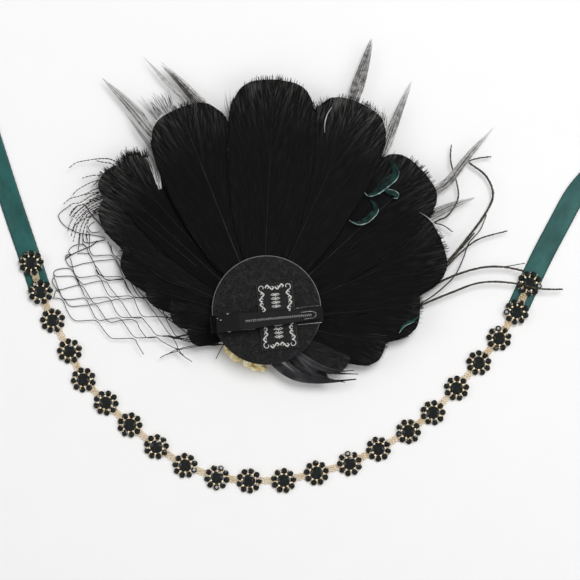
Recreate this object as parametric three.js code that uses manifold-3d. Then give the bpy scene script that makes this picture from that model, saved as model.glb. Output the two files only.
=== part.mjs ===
// A flapper's feather headband laid out flat: a band of rhinestone rosettes on satin ribbon ties, and the clip-on
// feather ornament that it carries, taken off and lying face down inside the band's curve, clip uppermost.
// Millimetres, +Z up. The origin is on the resting surface, under the middle of the whole outline.
import * as THREE from "three";
import { mergeVertices } from "three/addons/utils/BufferGeometryUtils.js";
import Module from "manifold-3d";

const wasm = await Module();
wasm.setup();

// Clearance between pieces that lie on or beside each other
const SEAT_GAP = 0.3;

// Rosettes: a lobed backing with one large cut stone and a ring of small ones, all soldered together
const PETAL_COUNT = 9;
const PETAL_RING_R = 4.95;
const PETAL_STONE_R = 1.3;
const PETAL_STONE_H = 1.3;
const CENTRE_STONE_R = 2.75;
const CENTRE_CUP_H = 0.8;
const CENTRE_STONE_H = 1.3;
const ROSETTE_BACK_T = 0.9;
const STONE_SUNK = 0.2;
const CENTRE_FACETS = 8;
const PETAL_FACETS = 6;
const TABLE_SHARE = 0.55;

// Chain links between the rosettes: a short woven stretch of fine chain, as wide as three strands
const LINK_W = 3.8;
const LINK_T = 1.1;
const LINK_LIFT = 0.15;

// Where the rosettes lie, from the band's left end to its right
const ROSETTE_SPOTS = [
  { x: -129.2, y: 13.5 },
  { x: -124.5, y: -1.0 },
  { x: -118.6, y: -15.2 },
  { x: -110.1, y: -30.5 },
  { x: -103.2, y: -44.9 },
  { x: -92.0, y: -56.4 },
  { x: -80.0, y: -67.4 },
  { x: -66.8, y: -78.3 },
  { x: -52.4, y: -87.7 },
  { x: -36.5, y: -93.7 },
  { x: -20.5, y: -95.3 },
  { x: -3.2, y: -95.2 },
  { x: 13.2, y: -91.4 },
  { x: 29.8, y: -86.7 },
  { x: 44.2, y: -79.4 },
  { x: 59.1, y: -70.7 },
  { x: 71.4, y: -61.3 },
  { x: 83.2, y: -49.1 },
  { x: 94.3, y: -36.4 },
  { x: 104.4, y: -24.2 },
  { x: 113.0, y: -11.0 },
  { x: 119.5, y: 3.2 },
];

// Ribbon ties: each starts under the band's last rosettes and runs to a plain cut end. The two routes hold the
// points past the last rosette
const RIBBON_W = 10.6;
const RIBBON_T = 1.0;
const RIBBON_TUCK = 1.5;
const RIBBON_STEPS = 14;
const ROSETTES_ON_RIBBON = 2;
const RIBBON_LEFT_ROUTE = [
  { x: -139.3, y: 43.5 },
  { x: -152.0, y: 83.0 },
];
const RIBBON_RIGHT_ROUTE = [
  { x: 125.2, y: 15.3 },
  { x: 134.6, y: 33.2 },
  { x: 142.8, y: 47.8 },
  { x: 153.0, y: 59.8 },
];

// Felt back of the ornament
const FELT = { x: -11.6, y: -10.0, r: 27.1, t: 1.5, sides: 40 };

// The hub, where all quills meet, seen from the felt's centre, and the ring in it where the front feathers root.
// Each kind of front feather has one sector of that ring, from and to in degrees from +X
const HUB_OFF_CENTRE = { x: -2.4, y: -4.0 };
const HUB_R = 15.0;
const HUB_SIDES = 24;
const ROOT_RING = { inner: 5.0, middle: 9.0, outer: 12.0, t: 0.8, steps: 4 };
const ROOT_SECTORS = {
  hackle_spray: { from: 26, to: 127 },
  barred_hackle: { from: 138, to: 164 },
  veil_net: { from: 176, to: 216 },
  herl_spray: { from: -36, to: 18 },
};

// Every feather droops from the hub by the same curve, so that the layers stay parallel
const DROOP = 3.0;
const DROOP_REACH = 150.0;

// Black feathers. angle is in degrees from +X. length, half width and sideways bend are shares of the longest
// feather's. rank counts down from the top one, and below is true for those under the green feathers
const FEATHER = { length: 120.5, half: 22.0, t: 0.7, camber: 0.4, rankStep: 0.4 };
const FEATHERS = [
  { angle: 176, length: 0.385, half: 0.44, bend: -0.12, rank: 4, below: true },
  { angle: 158, length: 0.645, half: 0.61, bend: -0.3, rank: 4, below: true },
  { angle: 142, length: 0.835, half: 0.79, bend: -0.136, rank: 3, below: true },
  { angle: 132.5, length: 0.88, half: 0.7, bend: -0.045, rank: 2, below: true },
  { angle: 111.5, length: 0.946, half: 0.95, bend: 0, rank: 1, below: false },
  { angle: 87, length: 1, half: 1, bend: 0, rank: 0, below: false },
  { angle: 65.3, length: 0.99, half: 0.94, bend: 0, rank: 1, below: false },
  { angle: 42.5, length: 0.915, half: 0.94, bend: 0, rank: 2, below: true },
  { angle: 21.5, length: 0.82, half: 0.92, bend: 0.136, rank: 3, below: true },
  { angle: 2.5, length: 0.665, half: 0.77, bend: 0.182, rank: 4, below: true },
  { angle: -13, length: 0.53, half: 0.58, bend: 0.05, rank: 4, below: true },
  { angle: -36, length: 0.405, half: 0.34, bend: 0.25, rank: 4, below: true },
  { angle: -62, length: 0.4, half: 0.27, bend: 0.98, rank: 4, below: true },
];
// A feather's outline: shares of its length, and of its half width there
const VANE = [
  { along: 0.0, half: 0.14 },
  { along: 0.14, half: 0.34 },
  { along: 0.3, half: 0.66 },
  { along: 0.5, half: 0.9 },
  { along: 0.72, half: 1.0 },
  { along: 0.87, half: 0.88 },
  { along: 0.95, half: 0.66 },
  { along: 0.985, half: 0.44 },
  { along: 1.0, half: 0.16 },
];

// Hackles: long narrow feathers behind the black ones, whose tips stand out of the fan. Shares as above
const HACKLE = { length: 149.0, half: 3.8, t: 0.6 };
const HACKLES = [
  { angle: 123.7, length: 0.96, half: 0.947, bend: 0 },
  { angle: 112.4, length: 0.933, half: 1, bend: 0.526 },
  { angle: 68.6, length: 1, half: 0.895, bend: -0.789 },
  { angle: 57.7, length: 0.94, half: 0.842, bend: -0.789 },
  { angle: 39.4, length: 1, half: 0.895, bend: -0.526 },
  { angle: 29.5, length: 0.819, half: 0.842, bend: 0 },
];
const HACKLE_VANE = [
  { along: 0.0, half: 0.4 },
  { along: 0.35, half: 0.5 },
  { along: 0.62, half: 1.0 },
  { along: 0.84, half: 0.8 },
  { along: 1.0, half: 0.15 },
];

// Barred hackles: thin striped strands that leave the fan on the left. Shares as above
const BARRED_HACKLE = { length: 122.0, half: 1.6, t: 0.6 };
const BARRED_HACKLES = [
  { angle: 142, length: 1, half: 0.813, bend: 3.125 },
  { angle: 149, length: 0.918, half: 1, bend: 1.875 },
  { angle: 153.5, length: 0.902, half: 0.813, bend: 0 },
  { angle: 159.5, length: 0.803, half: 0.813, bend: 2.5 },
];

// Herls: long fuzzy strands that leave the fan on the right. route is a strand's points, seen from the hub as
// shares of the longest one's reach, and those overBand stay high enough to lie over the band
const HERL = { reach: 150.0, half: 0.5, tipShare: 0.6, steps: 10 };
const HERLS = [
  {
    route: [[0.293, 0.073], [0.563, 0.132], [0.673, 0.254], [0.747, 0.353], [0.768, 0.41], [0.743, 0.472], [0.688, 0.516]],
    overBand: false,
  },
  {
    route: [[0.32, 0.187], [0.493, 0.333], [0.565, 0.415], [0.613, 0.427], [0.643, 0.473], [0.687, 0.519], [0.763, 0.537]],
    overBand: false,
  },
  { route: [[0.293, 0.067], [0.563, 0.128], [0.657, 0.213], [0.717, 0.26], [0.817, 0.293]], overBand: false },
  { route: [[0.267, 0.033], [0.563, 0.1], [0.649, 0.145], [0.733, 0.168], [0.801, 0.17], [0.873, 0.151]], overBand: true },
  {
    route: [[0.253, 0], [0.542, 0.049], [0.631, 0.085], [0.708, 0.113], [0.763, 0.121], [0.844, 0.115], [1.001, 0.095]],
    overBand: true,
  },
];

// Veil: knotted net of diamond cells, gathered under the hub and falling away towards its free edge. Each row
// is one strand's points, seen from the hub as shares of the net's reach
const VEIL = { reach: 104.0, half: 0.45, t: 0.6, edgeZ: 0.9, edgeShare: 0.92, gatherPast: 2.0, steps: 5 };
const VEIL_STRANDS = [
  [[-0.944, 0.289], [-0.871, 0.165], [-0.846, 0.096], [-0.798, -0.01], [-0.724, -0.097]],
  [[-0.832, 0.327], [-0.813, 0.274], [-0.774, 0.2], [-0.734, 0.099], [-0.685, 0], [-0.615, -0.095], [-0.569, -0.173]],
  [[-0.719, 0.327], [-0.665, 0.194], [-0.626, 0.111], [-0.577, 0.01], [-0.514, -0.082], [-0.409, -0.152], [-0.337, -0.202]],
  [[-0.694, 0.284], [-0.626, 0.185], [-0.563, 0.096], [-0.498, 0.01], [-0.435, -0.091], [-0.38, -0.177]],
  [[-0.996, 0.2], [-0.875, 0.188], [-0.774, 0.2], [-0.626, 0.185], [-0.442, 0.178], [-0.202, 0.077]],
  [[-0.996, 0.094], [-0.846, 0.096], [-0.694, 0.096], [-0.563, 0.096], [-0.394, 0.077], [-0.154, 0.019]],
  [[-0.901, -0.012], [-0.798, -0.01], [-0.685, 0], [-0.577, 0.01], [-0.46, 0.005], [-0.298, 0], [-0.115, -0.01]],
  [[-0.724, -0.097], [-0.615, -0.095], [-0.514, -0.082], [-0.435, -0.091], [-0.308, -0.115], [-0.135, -0.077]],
  [[-0.996, 0.2], [-0.976, 0.131], [-0.954, 0.092], [-0.92, 0.058], [-0.901, -0.012]],
  [[-0.944, 0.289], [-0.885, 0.332], [-0.808, 0.351], [-0.719, 0.327], [-0.538, 0.183], [-0.25, 0.067], [-0.096, 0.01]],
];

// Green feathers, tucked between the two layers of black ones, whose tips curl out over the lower ones. The
// root blade's rows are reach and half width, the curls' are points and rise, as shares of the sizes in GREEN
const GREEN = { angle: 54.0, reach: 120.5, half: 5.2, t: 0.6, curlHalf: 1.1, curlTipShare: 0.4, curlT: 0.5, rise: 2.2 };
const GREEN_CURL_STEPS = 10;
const GREEN_ROOT = [[0.332, 0.81], [0.539, 1], [0.697, 0.96], [0.763, 0.38]];
const GREEN_ROOT_START_HALF = 0.58;
const GREEN_CURLS = [
  [[0.423, 0.622, 0], [0.494, 0.614, 0], [0.539, 0.602, 0.18], [0.553, 0.573, 0.45], [0.516, 0.543, 0.77], [0.478, 0.526, 1]],
  [[0.39, 0.548, 0], [0.468, 0.539, 0], [0.518, 0.528, 0.14], [0.553, 0.511, 0.41], [0.548, 0.49, 0.68], [0.526, 0.495, 0.86]],
  [[0.357, 0.481, 0], [0.427, 0.476, 0], [0.468, 0.468, 0.14], [0.48, 0.44, 0.45], [0.453, 0.405, 0.73], [0.415, 0.393, 0.91]],
];

// Brooch on the ornament's face, on which the ornament rests: a ring of nuggets around a stepped dome
const BROOCH = { h: 5.2, r: 23.6, plateT: 1.4, nuggets: 15, nuggetR: 3.1, shortBy: 0.8, stepR: 12.6, domeR: 9.0 };
const NUGGET_FACE_SHARE = 0.55;
const NUGGET_BELT_SHARE = 0.45;

// Clip: a stamped jaw on the felt and a sprung lever over it, turning on a pin. Its own X runs along the jaw
// from the tail, its own Z stands on the jaw's underside, and it starts at the place seen from the felt's centre
const CLIP = { x: -27.8, y: -7.1, angle: 5.5 };
const JAW = { length: 56.0, half: 4.35, t: 0.8, cornerR: 1.4 };
const PIN = { along: 9.0, h: 3.4, r: 0.8, clearance: 0.25, stickOut: 0.3, sides: 16 };
const EAR = { r: 2.0, t: 0.7, foot: 2.2, headroom: 0.6 };
const LEVER = { half: 4.3, tipHalf: 2.3, flatTo: 14.5, tipInset: 1.7, t: 0.6, tipH: 2.2 };
// How the lever's top falls from its flat part to its tip: shares of that run and of that fall
const LEVER_FALL = [{ along: 0.389, fall: 0.295 }, { along: 0.957, fall: 0.773 }];
const TAIL = { bend: 3.2, lean: 2.4, rise: 4.9 };
const TEETH = { from: 19.0, tipRoom: 1.3, pitch: 2.4, depth: 0.6 };
const SPRING = { gap: 0.47, wire: 0.28, turns: 3.5, pitch: 0.8, footLeg: 8.0, topLeg: 5.5, facets: 5, perTurn: 8 };

// Woven label, laid across the jaw under the lever. along and across are its middle in the clip's own axes
const LABEL = { along: 33.3, across: 1.1, width: 18.0, length: 33.5, t: 0.5, slope: 1.3, shoulder: 0.6 };

const MATERIALS = {
  gold: new THREE.MeshStandardMaterial({ color: 0xd9b477, roughness: 0.3, metalness: 1.0 }),
  stone: new THREE.MeshStandardMaterial({ color: 0x14231f, roughness: 0.15, metalness: 0.3 }),
  satin: new THREE.MeshStandardMaterial({ color: 0x1f6a5d, roughness: 0.4, metalness: 0.0 }),
  felt: new THREE.MeshStandardMaterial({ color: 0x222222, roughness: 0.95, metalness: 0.0 }),
  label: new THREE.MeshStandardMaterial({ color: 0x141414, roughness: 0.8, metalness: 0.0 }),
  feather: new THREE.MeshStandardMaterial({ color: 0x101010, roughness: 0.6, metalness: 0.0 }),
  hackle: new THREE.MeshStandardMaterial({ color: 0x3a3a3a, roughness: 0.6, metalness: 0.0 }),
  barred: new THREE.MeshStandardMaterial({ color: 0x6b6258, roughness: 0.8, metalness: 0.0 }),
  herl: new THREE.MeshStandardMaterial({ color: 0x3b3129, roughness: 0.8, metalness: 0.0 }),
  green: new THREE.MeshStandardMaterial({ color: 0x12463c, roughness: 0.6, metalness: 0.0 }),
  net: new THREE.MeshStandardMaterial({ color: 0x2b2b2b, roughness: 0.7, metalness: 0.0 }),
  clip: new THREE.MeshStandardMaterial({ color: 0x161616, roughness: 0.35, metalness: 0.8 }),
  steel: new THREE.MeshStandardMaterial({ color: 0x8c8c8c, roughness: 0.3, metalness: 1.0 }),
};

// The stack of the ornament, from the surface up
const hub = { x: FELT.x + HUB_OFF_CENTRE.x, y: FELT.y + HUB_OFF_CENTRE.y };
const ranksOf = (below) => FEATHERS.filter((f) => f.below === below).map((f) => f.rank);
const lowestRank = { true: Math.max(...ranksOf(true)), false: Math.max(...ranksOf(false)) };
const lowerSpan = (lowestRank.true - Math.min(...ranksOf(true))) * FEATHER.rankStep + FEATHER.t;
const rootZ = BROOCH.h + SEAT_GAP;
const hackleZ = rootZ + ROOT_RING.t + SEAT_GAP;
const hubZ = hackleZ + ROOT_RING.t + SEAT_GAP;
const greenZ = hubZ + FEATHER.camber + lowerSpan + SEAT_GAP;
const upperZ = greenZ + GREEN.t + SEAT_GAP;
const hubTop = upperZ + FEATHER.camber + lowestRank.false * FEATHER.rankStep + FEATHER.t;
const feltZ = hubTop + SEAT_GAP;
const clipZ = feltZ + FELT.t + SEAT_GAP;

// Sizes that follow from the others
const rosetteR = PETAL_RING_R + PETAL_STONE_R;
const rosetteSeat = ROSETTE_BACK_T - STONE_SUNK;
const rosetteH = rosetteSeat + CENTRE_CUP_H + CENTRE_STONE_H;
const onRibbonZ = RIBBON_T + SEAT_GAP;
const earOuter = LEVER.half - LEVER.t - SEAT_GAP;
const earInner = earOuter - EAR.t;
const leverTop = PIN.h + EAR.r + EAR.headroom + LEVER.t;
const leverEnd = JAW.length - LEVER.tipInset;
const footAtLabel = JAW.t + LABEL.t + 2 * SEAT_GAP;
const footAtTip = JAW.t + SEAT_GAP;

const radians = THREE.MathUtils.degToRad;
const group = new THREE.Group();

function addMesh(name, geometry, material, place = new THREE.Matrix4()) {
  const mesh = new THREE.Mesh(geometry, material);
  mesh.name = name;
  mesh.applyMatrix4(place);
  group.add(mesh);
}

// A geometry as a solid for joining and cutting
function solidOf(geometry) {
  const bare = new THREE.BufferGeometry();
  const source = geometry.index ? geometry.toNonIndexed() : geometry;
  bare.setAttribute("position", source.getAttribute("position"));
  const merged = mergeVertices(bare, 1e-4);
  return new wasm.Manifold(
    new wasm.Mesh({
      numProp: 3,
      vertProperties: merged.attributes.position.array,
      triVerts: new Uint32Array(merged.index.array),
    }),
  );
}

function geometryOf(solid) {
  const made = solid.getMesh();
  const positions = new Float32Array(made.numVert * 3);
  for (let i = 0; i < made.numVert; i++) {
    positions.set(made.vertProperties.subarray(i * made.numProp, i * made.numProp + 3), i * 3);
  }
  return new THREE.BufferGeometry()
    .setAttribute("position", new THREE.BufferAttribute(positions, 3))
    .setIndex(new THREE.BufferAttribute(made.triVerts, 1));
}

function joinSolids(geometries) {
  return geometries.map(solidOf).reduce((whole, next) => whole.add(next));
}

function join(geometries) {
  return geometryOf(joinSolids(geometries));
}

function shapeOf(points) {
  return new THREE.Shape(points.map(([x, y]) => new THREE.Vector2(x, y)));
}

// A flat plate from an outline, standing on height z
function plate(outline, z, thickness) {
  const geometry = new THREE.ExtrudeGeometry(shapeOf(outline), { depth: thickness, bevelEnabled: false });
  return geometry.translate(0, 0, z);
}

// A side profile in X and Z, extruded across Y from y0 to y1
function sidePlate(outline, y0, y1) {
  const geometry = new THREE.ExtrudeGeometry(shapeOf(outline), { depth: y1 - y0, bevelEnabled: false });
  return geometry.rotateX(Math.PI / 2).translate(0, y1, 0);
}

function disc(x, y, r, z, thickness, sides) {
  const geometry = new THREE.CylinderGeometry(r, r, thickness, sides);
  return geometry.rotateX(Math.PI / 2).translate(x, y, z + thickness / 2);
}

// A solid of revolution about Z from pairs of radius and height
function turned(pairs, sides) {
  const profile = pairs.map(([r, z]) => new THREE.Vector2(r, z));
  return new THREE.LatheGeometry(profile, sides).rotateX(Math.PI / 2);
}

// A closed skin of rings of corners, each ring running counterclockwise seen from the next ring
function loft(rings) {
  const around = rings[0].length;
  const faces = [];
  for (let i = 0; i + 1 < rings.length; i++) {
    for (let j = 0; j < around; j++) {
      const a = i * around + j;
      const b = i * around + ((j + 1) % around);
      faces.push(a, b, a + around, b, b + around, a + around);
    }
  }
  const last = (rings.length - 1) * around;
  for (let j = 1; j + 1 < around; j++) {
    faces.push(0, j + 1, j);
    faces.push(last, last + j, last + j + 1);
  }
  const geometry = new THREE.BufferGeometry();
  geometry.setAttribute("position", new THREE.Float32BufferAttribute(rings.flat(2), 3));
  geometry.setIndex(faces);
  return geometry;
}

function smoothCurve(points) {
  const curve = new THREE.CatmullRomCurve3(points, false, "centripetal");
  curve.arcLengthDivisions = 400;
  return curve;
}

// A flat strand along a smooth route, half(share) wide to each side and rise(share) thick up and down
function strand(points, half, rise, steps) {
  const curve = smoothCurve(points);
  const rings = [];
  for (let i = 0; i <= steps; i++) {
    const share = i / steps;
    const p = curve.getPointAt(share);
    const t = curve.getTangentAt(share);
    const side = new THREE.Vector3(-t.y, t.x, 0).normalize();
    const up = new THREE.Vector3().crossVectors(t, side).normalize();
    const corner = (s, u) => {
      return p.clone().addScaledVector(side, s * half(share)).addScaledVector(up, u * rise(share)).toArray();
    };
    rings.push([corner(1, -1), corner(1, 1), corner(-1, 1), corner(-1, -1)]);
  }
  return loft(rings);
}

function cutStone(r, cupHeight, crownHeight, facets) {
  const top = rosetteSeat + cupHeight + crownHeight;
  const wall = cupHeight > 0 ? [[r, rosetteSeat + cupHeight]] : [];
  return turned([[0, rosetteSeat], [r, rosetteSeat], ...wall, [r * TABLE_SHARE, top], [0, top]], facets);
}

function rosetteGeometry() {
  const notchR = PETAL_RING_R - 0.3 * PETAL_STONE_R;
  const half = Math.PI / PETAL_COUNT;
  const lobeHalf = Math.asin((0.85 * PETAL_STONE_R) / rosetteR);
  const outline = [];
  const stones = [cutStone(CENTRE_STONE_R, CENTRE_CUP_H, CENTRE_STONE_H, CENTRE_FACETS)];
  for (let i = 0; i < PETAL_COUNT; i++) {
    const a = 2 * half * i;
    for (const [r, turn] of [[rosetteR, -lobeHalf], [rosetteR, lobeHalf], [notchR, half]]) {
      outline.push([r * Math.cos(a + turn), r * Math.sin(a + turn)]);
    }
    const stone = cutStone(PETAL_STONE_R * 0.96, 0, PETAL_STONE_H, PETAL_FACETS).rotateZ(a);
    stones.push(stone.translate(PETAL_RING_R * Math.cos(a), PETAL_RING_R * Math.sin(a), 0));
  }
  return join([plate(outline, 0, ROSETTE_BACK_T), ...stones]);
}

const rosetteCount = ROSETTE_SPOTS.length;

// Where a rosette stands: its middle, the band's direction there, and its seat on the surface or on a ribbon
function rosettePlace(index) {
  const before = ROSETTE_SPOTS[Math.max(index - 1, 0)];
  const after = ROSETTE_SPOTS[Math.min(index + 1, rosetteCount - 1)];
  const tangent = new THREE.Vector3(after.x - before.x, after.y - before.y, 0).normalize();
  const fromEnd = Math.min(index, rosetteCount - 1 - index);
  const { x, y } = ROSETTE_SPOTS[index];
  const point = new THREE.Vector3(x, y, fromEnd < ROSETTES_ON_RIBBON ? onRibbonZ : 0);
  return { point, tangent };
}

function linkBetween(from, to) {
  const along = to.clone().sub(from);
  const run = Math.hypot(along.x, along.y);
  const middle = from.clone().add(to).multiplyScalar(0.5);
  const lift = along.z === 0 ? 0 : LINK_LIFT;
  const link = new THREE.BoxGeometry(run - 2 * (rosetteR + SEAT_GAP), LINK_W, LINK_T).translate(0, 0, LINK_T / 2);
  const place = new THREE.Matrix4()
    .makeRotationZ(Math.atan2(along.y, along.x))
    .multiply(new THREE.Matrix4().makeRotationY(-Math.atan2(along.z, run)))
    .setPosition(middle.x, middle.y, middle.z + lift);
  return { link, place };
}

function addBand() {
  const rosette = rosetteGeometry();
  for (let i = 0; i < rosetteCount; i++) {
    const { point, tangent } = rosettePlace(i);
    const place = new THREE.Matrix4().makeRotationZ(Math.atan2(tangent.y, tangent.x));
    const number = String(i + 1).padStart(2, "0");
    addMesh(`rosette_${number}`, rosette, MATERIALS.stone, place.setPosition(point));
    if (i + 1 < rosetteCount) {
      const { link, place: linkPlace } = linkBetween(point, rosettePlace(i + 1).point);
      addMesh(`chain_link_${number}`, link, MATERIALS.gold, linkPlace);
    }
  }
}

// A ribbon's route: from just past its innermost rosette, through the middle of each rosette on it, and on
function ribbonRoute(routePastBand, fromLeft) {
  const indices = [];
  for (let i = ROSETTES_ON_RIBBON - 1; i >= 0; i--) indices.push(fromLeft ? i : rosetteCount - 1 - i);
  const places = indices.map(rosettePlace);
  const tuck = places[0].tangent.clone().multiplyScalar(fromLeft ? RIBBON_TUCK : -RIBBON_TUCK);
  const start = places[0].point.clone().add(tuck);
  const onward = routePastBand.map((p) => new THREE.Vector3(p.x, p.y, 0));
  return [start, ...places.map((p) => p.point), ...onward].map((p) => new THREE.Vector3(p.x, p.y, 0));
}

function addRibbon(name, route) {
  const curve = smoothCurve(route);
  const left = [];
  const right = [];
  for (let i = 0; i <= RIBBON_STEPS; i++) {
    const p = curve.getPointAt(i / RIBBON_STEPS);
    const t = curve.getTangentAt(i / RIBBON_STEPS);
    left.unshift([p.x - (t.y * RIBBON_W) / 2, p.y + (t.x * RIBBON_W) / 2]);
    right.push([p.x + (t.y * RIBBON_W) / 2, p.y - (t.x * RIBBON_W) / 2]);
  }
  addMesh(name, plate([...right, ...left], 0, RIBBON_T), MATERIALS.satin);
}

function droopAt(x, y) {
  const share = Math.hypot(x - hub.x, y - hub.y) / DROOP_REACH;
  return DROOP * share * share;
}

// A point that lies out along a direction from the hub and across it, lowered by the droop there
function fromHub(angle, out, across, z) {
  const x = hub.x + out * Math.cos(angle) - across * Math.sin(angle);
  const y = hub.y + out * Math.sin(angle) + across * Math.cos(angle);
  return [x, y, z - droopAt(x, y)];
}

// A thin feather: a ridge along the quill, with sides that fall away by the camber
function featherGeometry(row, kind, vane, root, z) {
  const angle = radians(row.angle);
  const rings = vane.map(({ along, half }) => {
    const out = root + along * (row.length * kind.length - root);
    const bend = row.bend * kind.half * along * along;
    const wide = half * row.half * kind.half;
    const low = z - (kind.camber ?? 0) * half;
    const at = (across, height) => fromHub(angle, out, bend + across, height);
    return [
      at(wide, low), at(wide, low + kind.t), at(0, z + kind.t),
      at(-wide, low + kind.t), at(-wide, low), at(0, z),
    ];
  });
  return loft(rings);
}

function addFeatherFan() {
  const blades = FEATHERS.map((row) => {
    const steps = lowestRank[row.below] - row.rank;
    const z = (row.below ? hubZ : upperZ) + FEATHER.camber + steps * FEATHER.rankStep;
    return featherGeometry(row, FEATHER, VANE, ROOT_RING.inner, z);
  });
  const core = disc(hub.x, hub.y, HUB_R, hubZ, hubTop - hubZ, HUB_SIDES);
  addMesh("feather_fan", join([core, ...blades]), MATERIALS.feather);
}

// The pad under the hub that one kind of front feather roots in
function rootPad(name, z) {
  const { from, to } = ROOT_SECTORS[name];
  const points = [];
  for (const [r, start, end] of [[ROOT_RING.outer, from, to], [ROOT_RING.inner, to, from]]) {
    for (let i = 0; i <= ROOT_RING.steps; i++) {
      const a = radians(start + ((end - start) * i) / ROOT_RING.steps);
      points.push([hub.x + r * Math.cos(a), hub.y + r * Math.sin(a)]);
    }
  }
  return plate(points, z, ROOT_RING.t);
}

function addHackles(name, rows, kind, material) {
  const z = hackleZ + (ROOT_RING.t - kind.t) / 2;
  const blades = rows.map((row) => featherGeometry(row, kind, HACKLE_VANE, ROOT_RING.middle, z));
  addMesh(name, join([rootPad(name, hackleZ), ...blades]), material);
}

function addHerls() {
  const middle = rootZ + ROOT_RING.t / 2;
  const overBandZ = onRibbonZ + rosetteH + SEAT_GAP + HERL.half;
  const { from, to } = ROOT_SECTORS.herl_spray;
  const size = (share) => HERL.half * (1 - (1 - HERL.tipShare) * share);
  const strands = HERLS.map(({ route, overBand }, i) => {
    const a = radians(to - ((to - from) * (i + 0.5)) / HERLS.length);
    const start = [ROOT_RING.middle * Math.cos(a), ROOT_RING.middle * Math.sin(a)];
    const points = [start, ...route.map(([u, v]) => [u * HERL.reach, v * HERL.reach])].map(([x, y]) => {
      const z = middle - droopAt(hub.x + x, hub.y + y);
      return new THREE.Vector3(hub.x + x, hub.y + y, overBand ? Math.max(z, overBandZ) : z);
    });
    return strand(points, size, size, HERL.steps);
  });
  addMesh("herl_spray", join([rootPad("herl_spray", rootZ), ...strands]), MATERIALS.herl);
}

function addVeil() {
  const gatherZ = rootZ + VEIL.t / 2;
  const gatherR = BROOCH.r + VEIL.gatherPast;
  const edgeR = VEIL.reach * VEIL.edgeShare;
  const strands = VEIL_STRANDS.map((row) => {
    const points = row.map(([u, v]) => {
      const past = (Math.hypot(u, v) * VEIL.reach - gatherR) / (edgeR - gatherR);
      const share = Math.min(Math.max(past, 0), 1);
      const z = gatherZ + (VEIL.edgeZ - gatherZ) * share;
      return new THREE.Vector3(hub.x + u * VEIL.reach, hub.y + v * VEIL.reach, z);
    });
    return strand(points, () => VEIL.half, () => VEIL.t / 2, VEIL.steps);
  });
  addMesh("veil_net", join([rootPad("veil_net", rootZ), ...strands]), MATERIALS.net);
}

function addGreenPlume() {
  const angle = radians(GREEN.angle);
  const start = { out: HUB_R + SEAT_GAP, half: GREEN_ROOT_START_HALF };
  const rows = [start, ...GREEN_ROOT.map(([out, half]) => ({ out: out * GREEN.reach, half }))];
  const blade = loft(
    rows.map(({ out, half }) => {
      const at = (side, z) => fromHub(angle, out, side * half * GREEN.half, z);
      return [at(1, greenZ), at(1, greenZ + GREEN.t), at(-1, greenZ + GREEN.t), at(-1, greenZ)];
    }),
  );
  const size = (share) => GREEN.curlHalf * (1 - (1 - GREEN.curlTipShare) * share);
  const curls = GREEN_CURLS.map((row) => {
    const points = row.map(([u, v, up]) => {
      const x = hub.x + u * GREEN.reach;
      const y = hub.y + v * GREEN.reach;
      return new THREE.Vector3(x, y, greenZ + GREEN.t / 2 + up * GREEN.rise - droopAt(x, y));
    });
    return strand(points, size, () => GREEN.curlT / 2, GREEN_CURL_STEPS);
  });
  addMesh("green_plume", join([blade, ...curls]), MATERIALS.green);
}

// A lump with flat facets that hangs under the brooch's plate
function nugget(x, y, r, depth, sides) {
  const under = BROOCH.h - BROOCH.plateT;
  const face = under - depth;
  const belt = under - NUGGET_BELT_SHARE * depth;
  const inPlate = BROOCH.h - BROOCH.plateT / 2;
  const pairs = [[0, face], [NUGGET_FACE_SHARE * r, face], [r, belt], [r, inPlate], [0, inPlate]];
  return turned(pairs, sides).translate(x, y, 0);
}

function addBrooch() {
  const deep = BROOCH.h - BROOCH.plateT;
  const ringR = BROOCH.r - BROOCH.nuggetR;
  const plateR = BROOCH.r - BROOCH.nuggetR / 2;
  const pieces = [disc(hub.x, hub.y, plateR, deep, BROOCH.plateT, 30)];
  for (let i = 0; i < BROOCH.nuggets; i++) {
    const a = (2 * Math.PI * i) / BROOCH.nuggets;
    const short = i % 2 ? BROOCH.shortBy : 0;
    const [x, y] = [hub.x + ringR * Math.cos(a), hub.y + ringR * Math.sin(a)];
    pieces.push(nugget(x, y, BROOCH.nuggetR, deep - short, 6));
  }
  pieces.push(nugget(hub.x, hub.y, BROOCH.stepR, deep / 2, 16));
  pieces.push(nugget(hub.x, hub.y, BROOCH.domeR, deep, 12));
  addMesh("gold_brooch", join(pieces), MATERIALS.gold);
}

function addFelt() {
  addMesh("felt_disc", disc(FELT.x, FELT.y, FELT.r, feltZ, FELT.t, FELT.sides), MATERIALS.felt);
}

// The clip's pieces are made in its own axes and put in place together
const clipPlace = new THREE.Matrix4()
  .makeRotationZ(radians(CLIP.angle))
  .setPosition(FELT.x + CLIP.x, FELT.y + CLIP.y, clipZ);

function pinRod(r, half) {
  return new THREE.CylinderGeometry(r, r, 2 * half, PIN.sides).translate(PIN.along, 0, PIN.h);
}

function addClipBase() {
  const { length, half, cornerR } = JAW;
  const cut = 0.3 * cornerR;
  const outline = [
    [0, -half], [length - cornerR, -half], [length - cut, cut - half], [length, cornerR - half],
    [length, half - cornerR], [length - cut, half - cut], [length - cornerR, half], [0, half],
  ];
  const ear = [[PIN.along - EAR.foot, JAW.t / 2], [PIN.along + EAR.foot, JAW.t / 2]];
  for (let i = 0; i <= 8; i++) {
    const a = (Math.PI * i) / 8;
    ear.push([PIN.along + EAR.r * Math.cos(a), PIN.h + EAR.r * Math.sin(a)]);
  }
  const ears = [sidePlate(ear, earInner, earOuter), sidePlate(ear, -earOuter, -earInner)];
  const hole = solidOf(pinRod(PIN.r + PIN.clearance, LEVER.half));
  const jaw = joinSolids([plate(outline, 0, JAW.t), ...ears]).subtract(hole);
  addMesh("clip_base", geometryOf(jaw), MATERIALS.clip, clipPlace);
}

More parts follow.
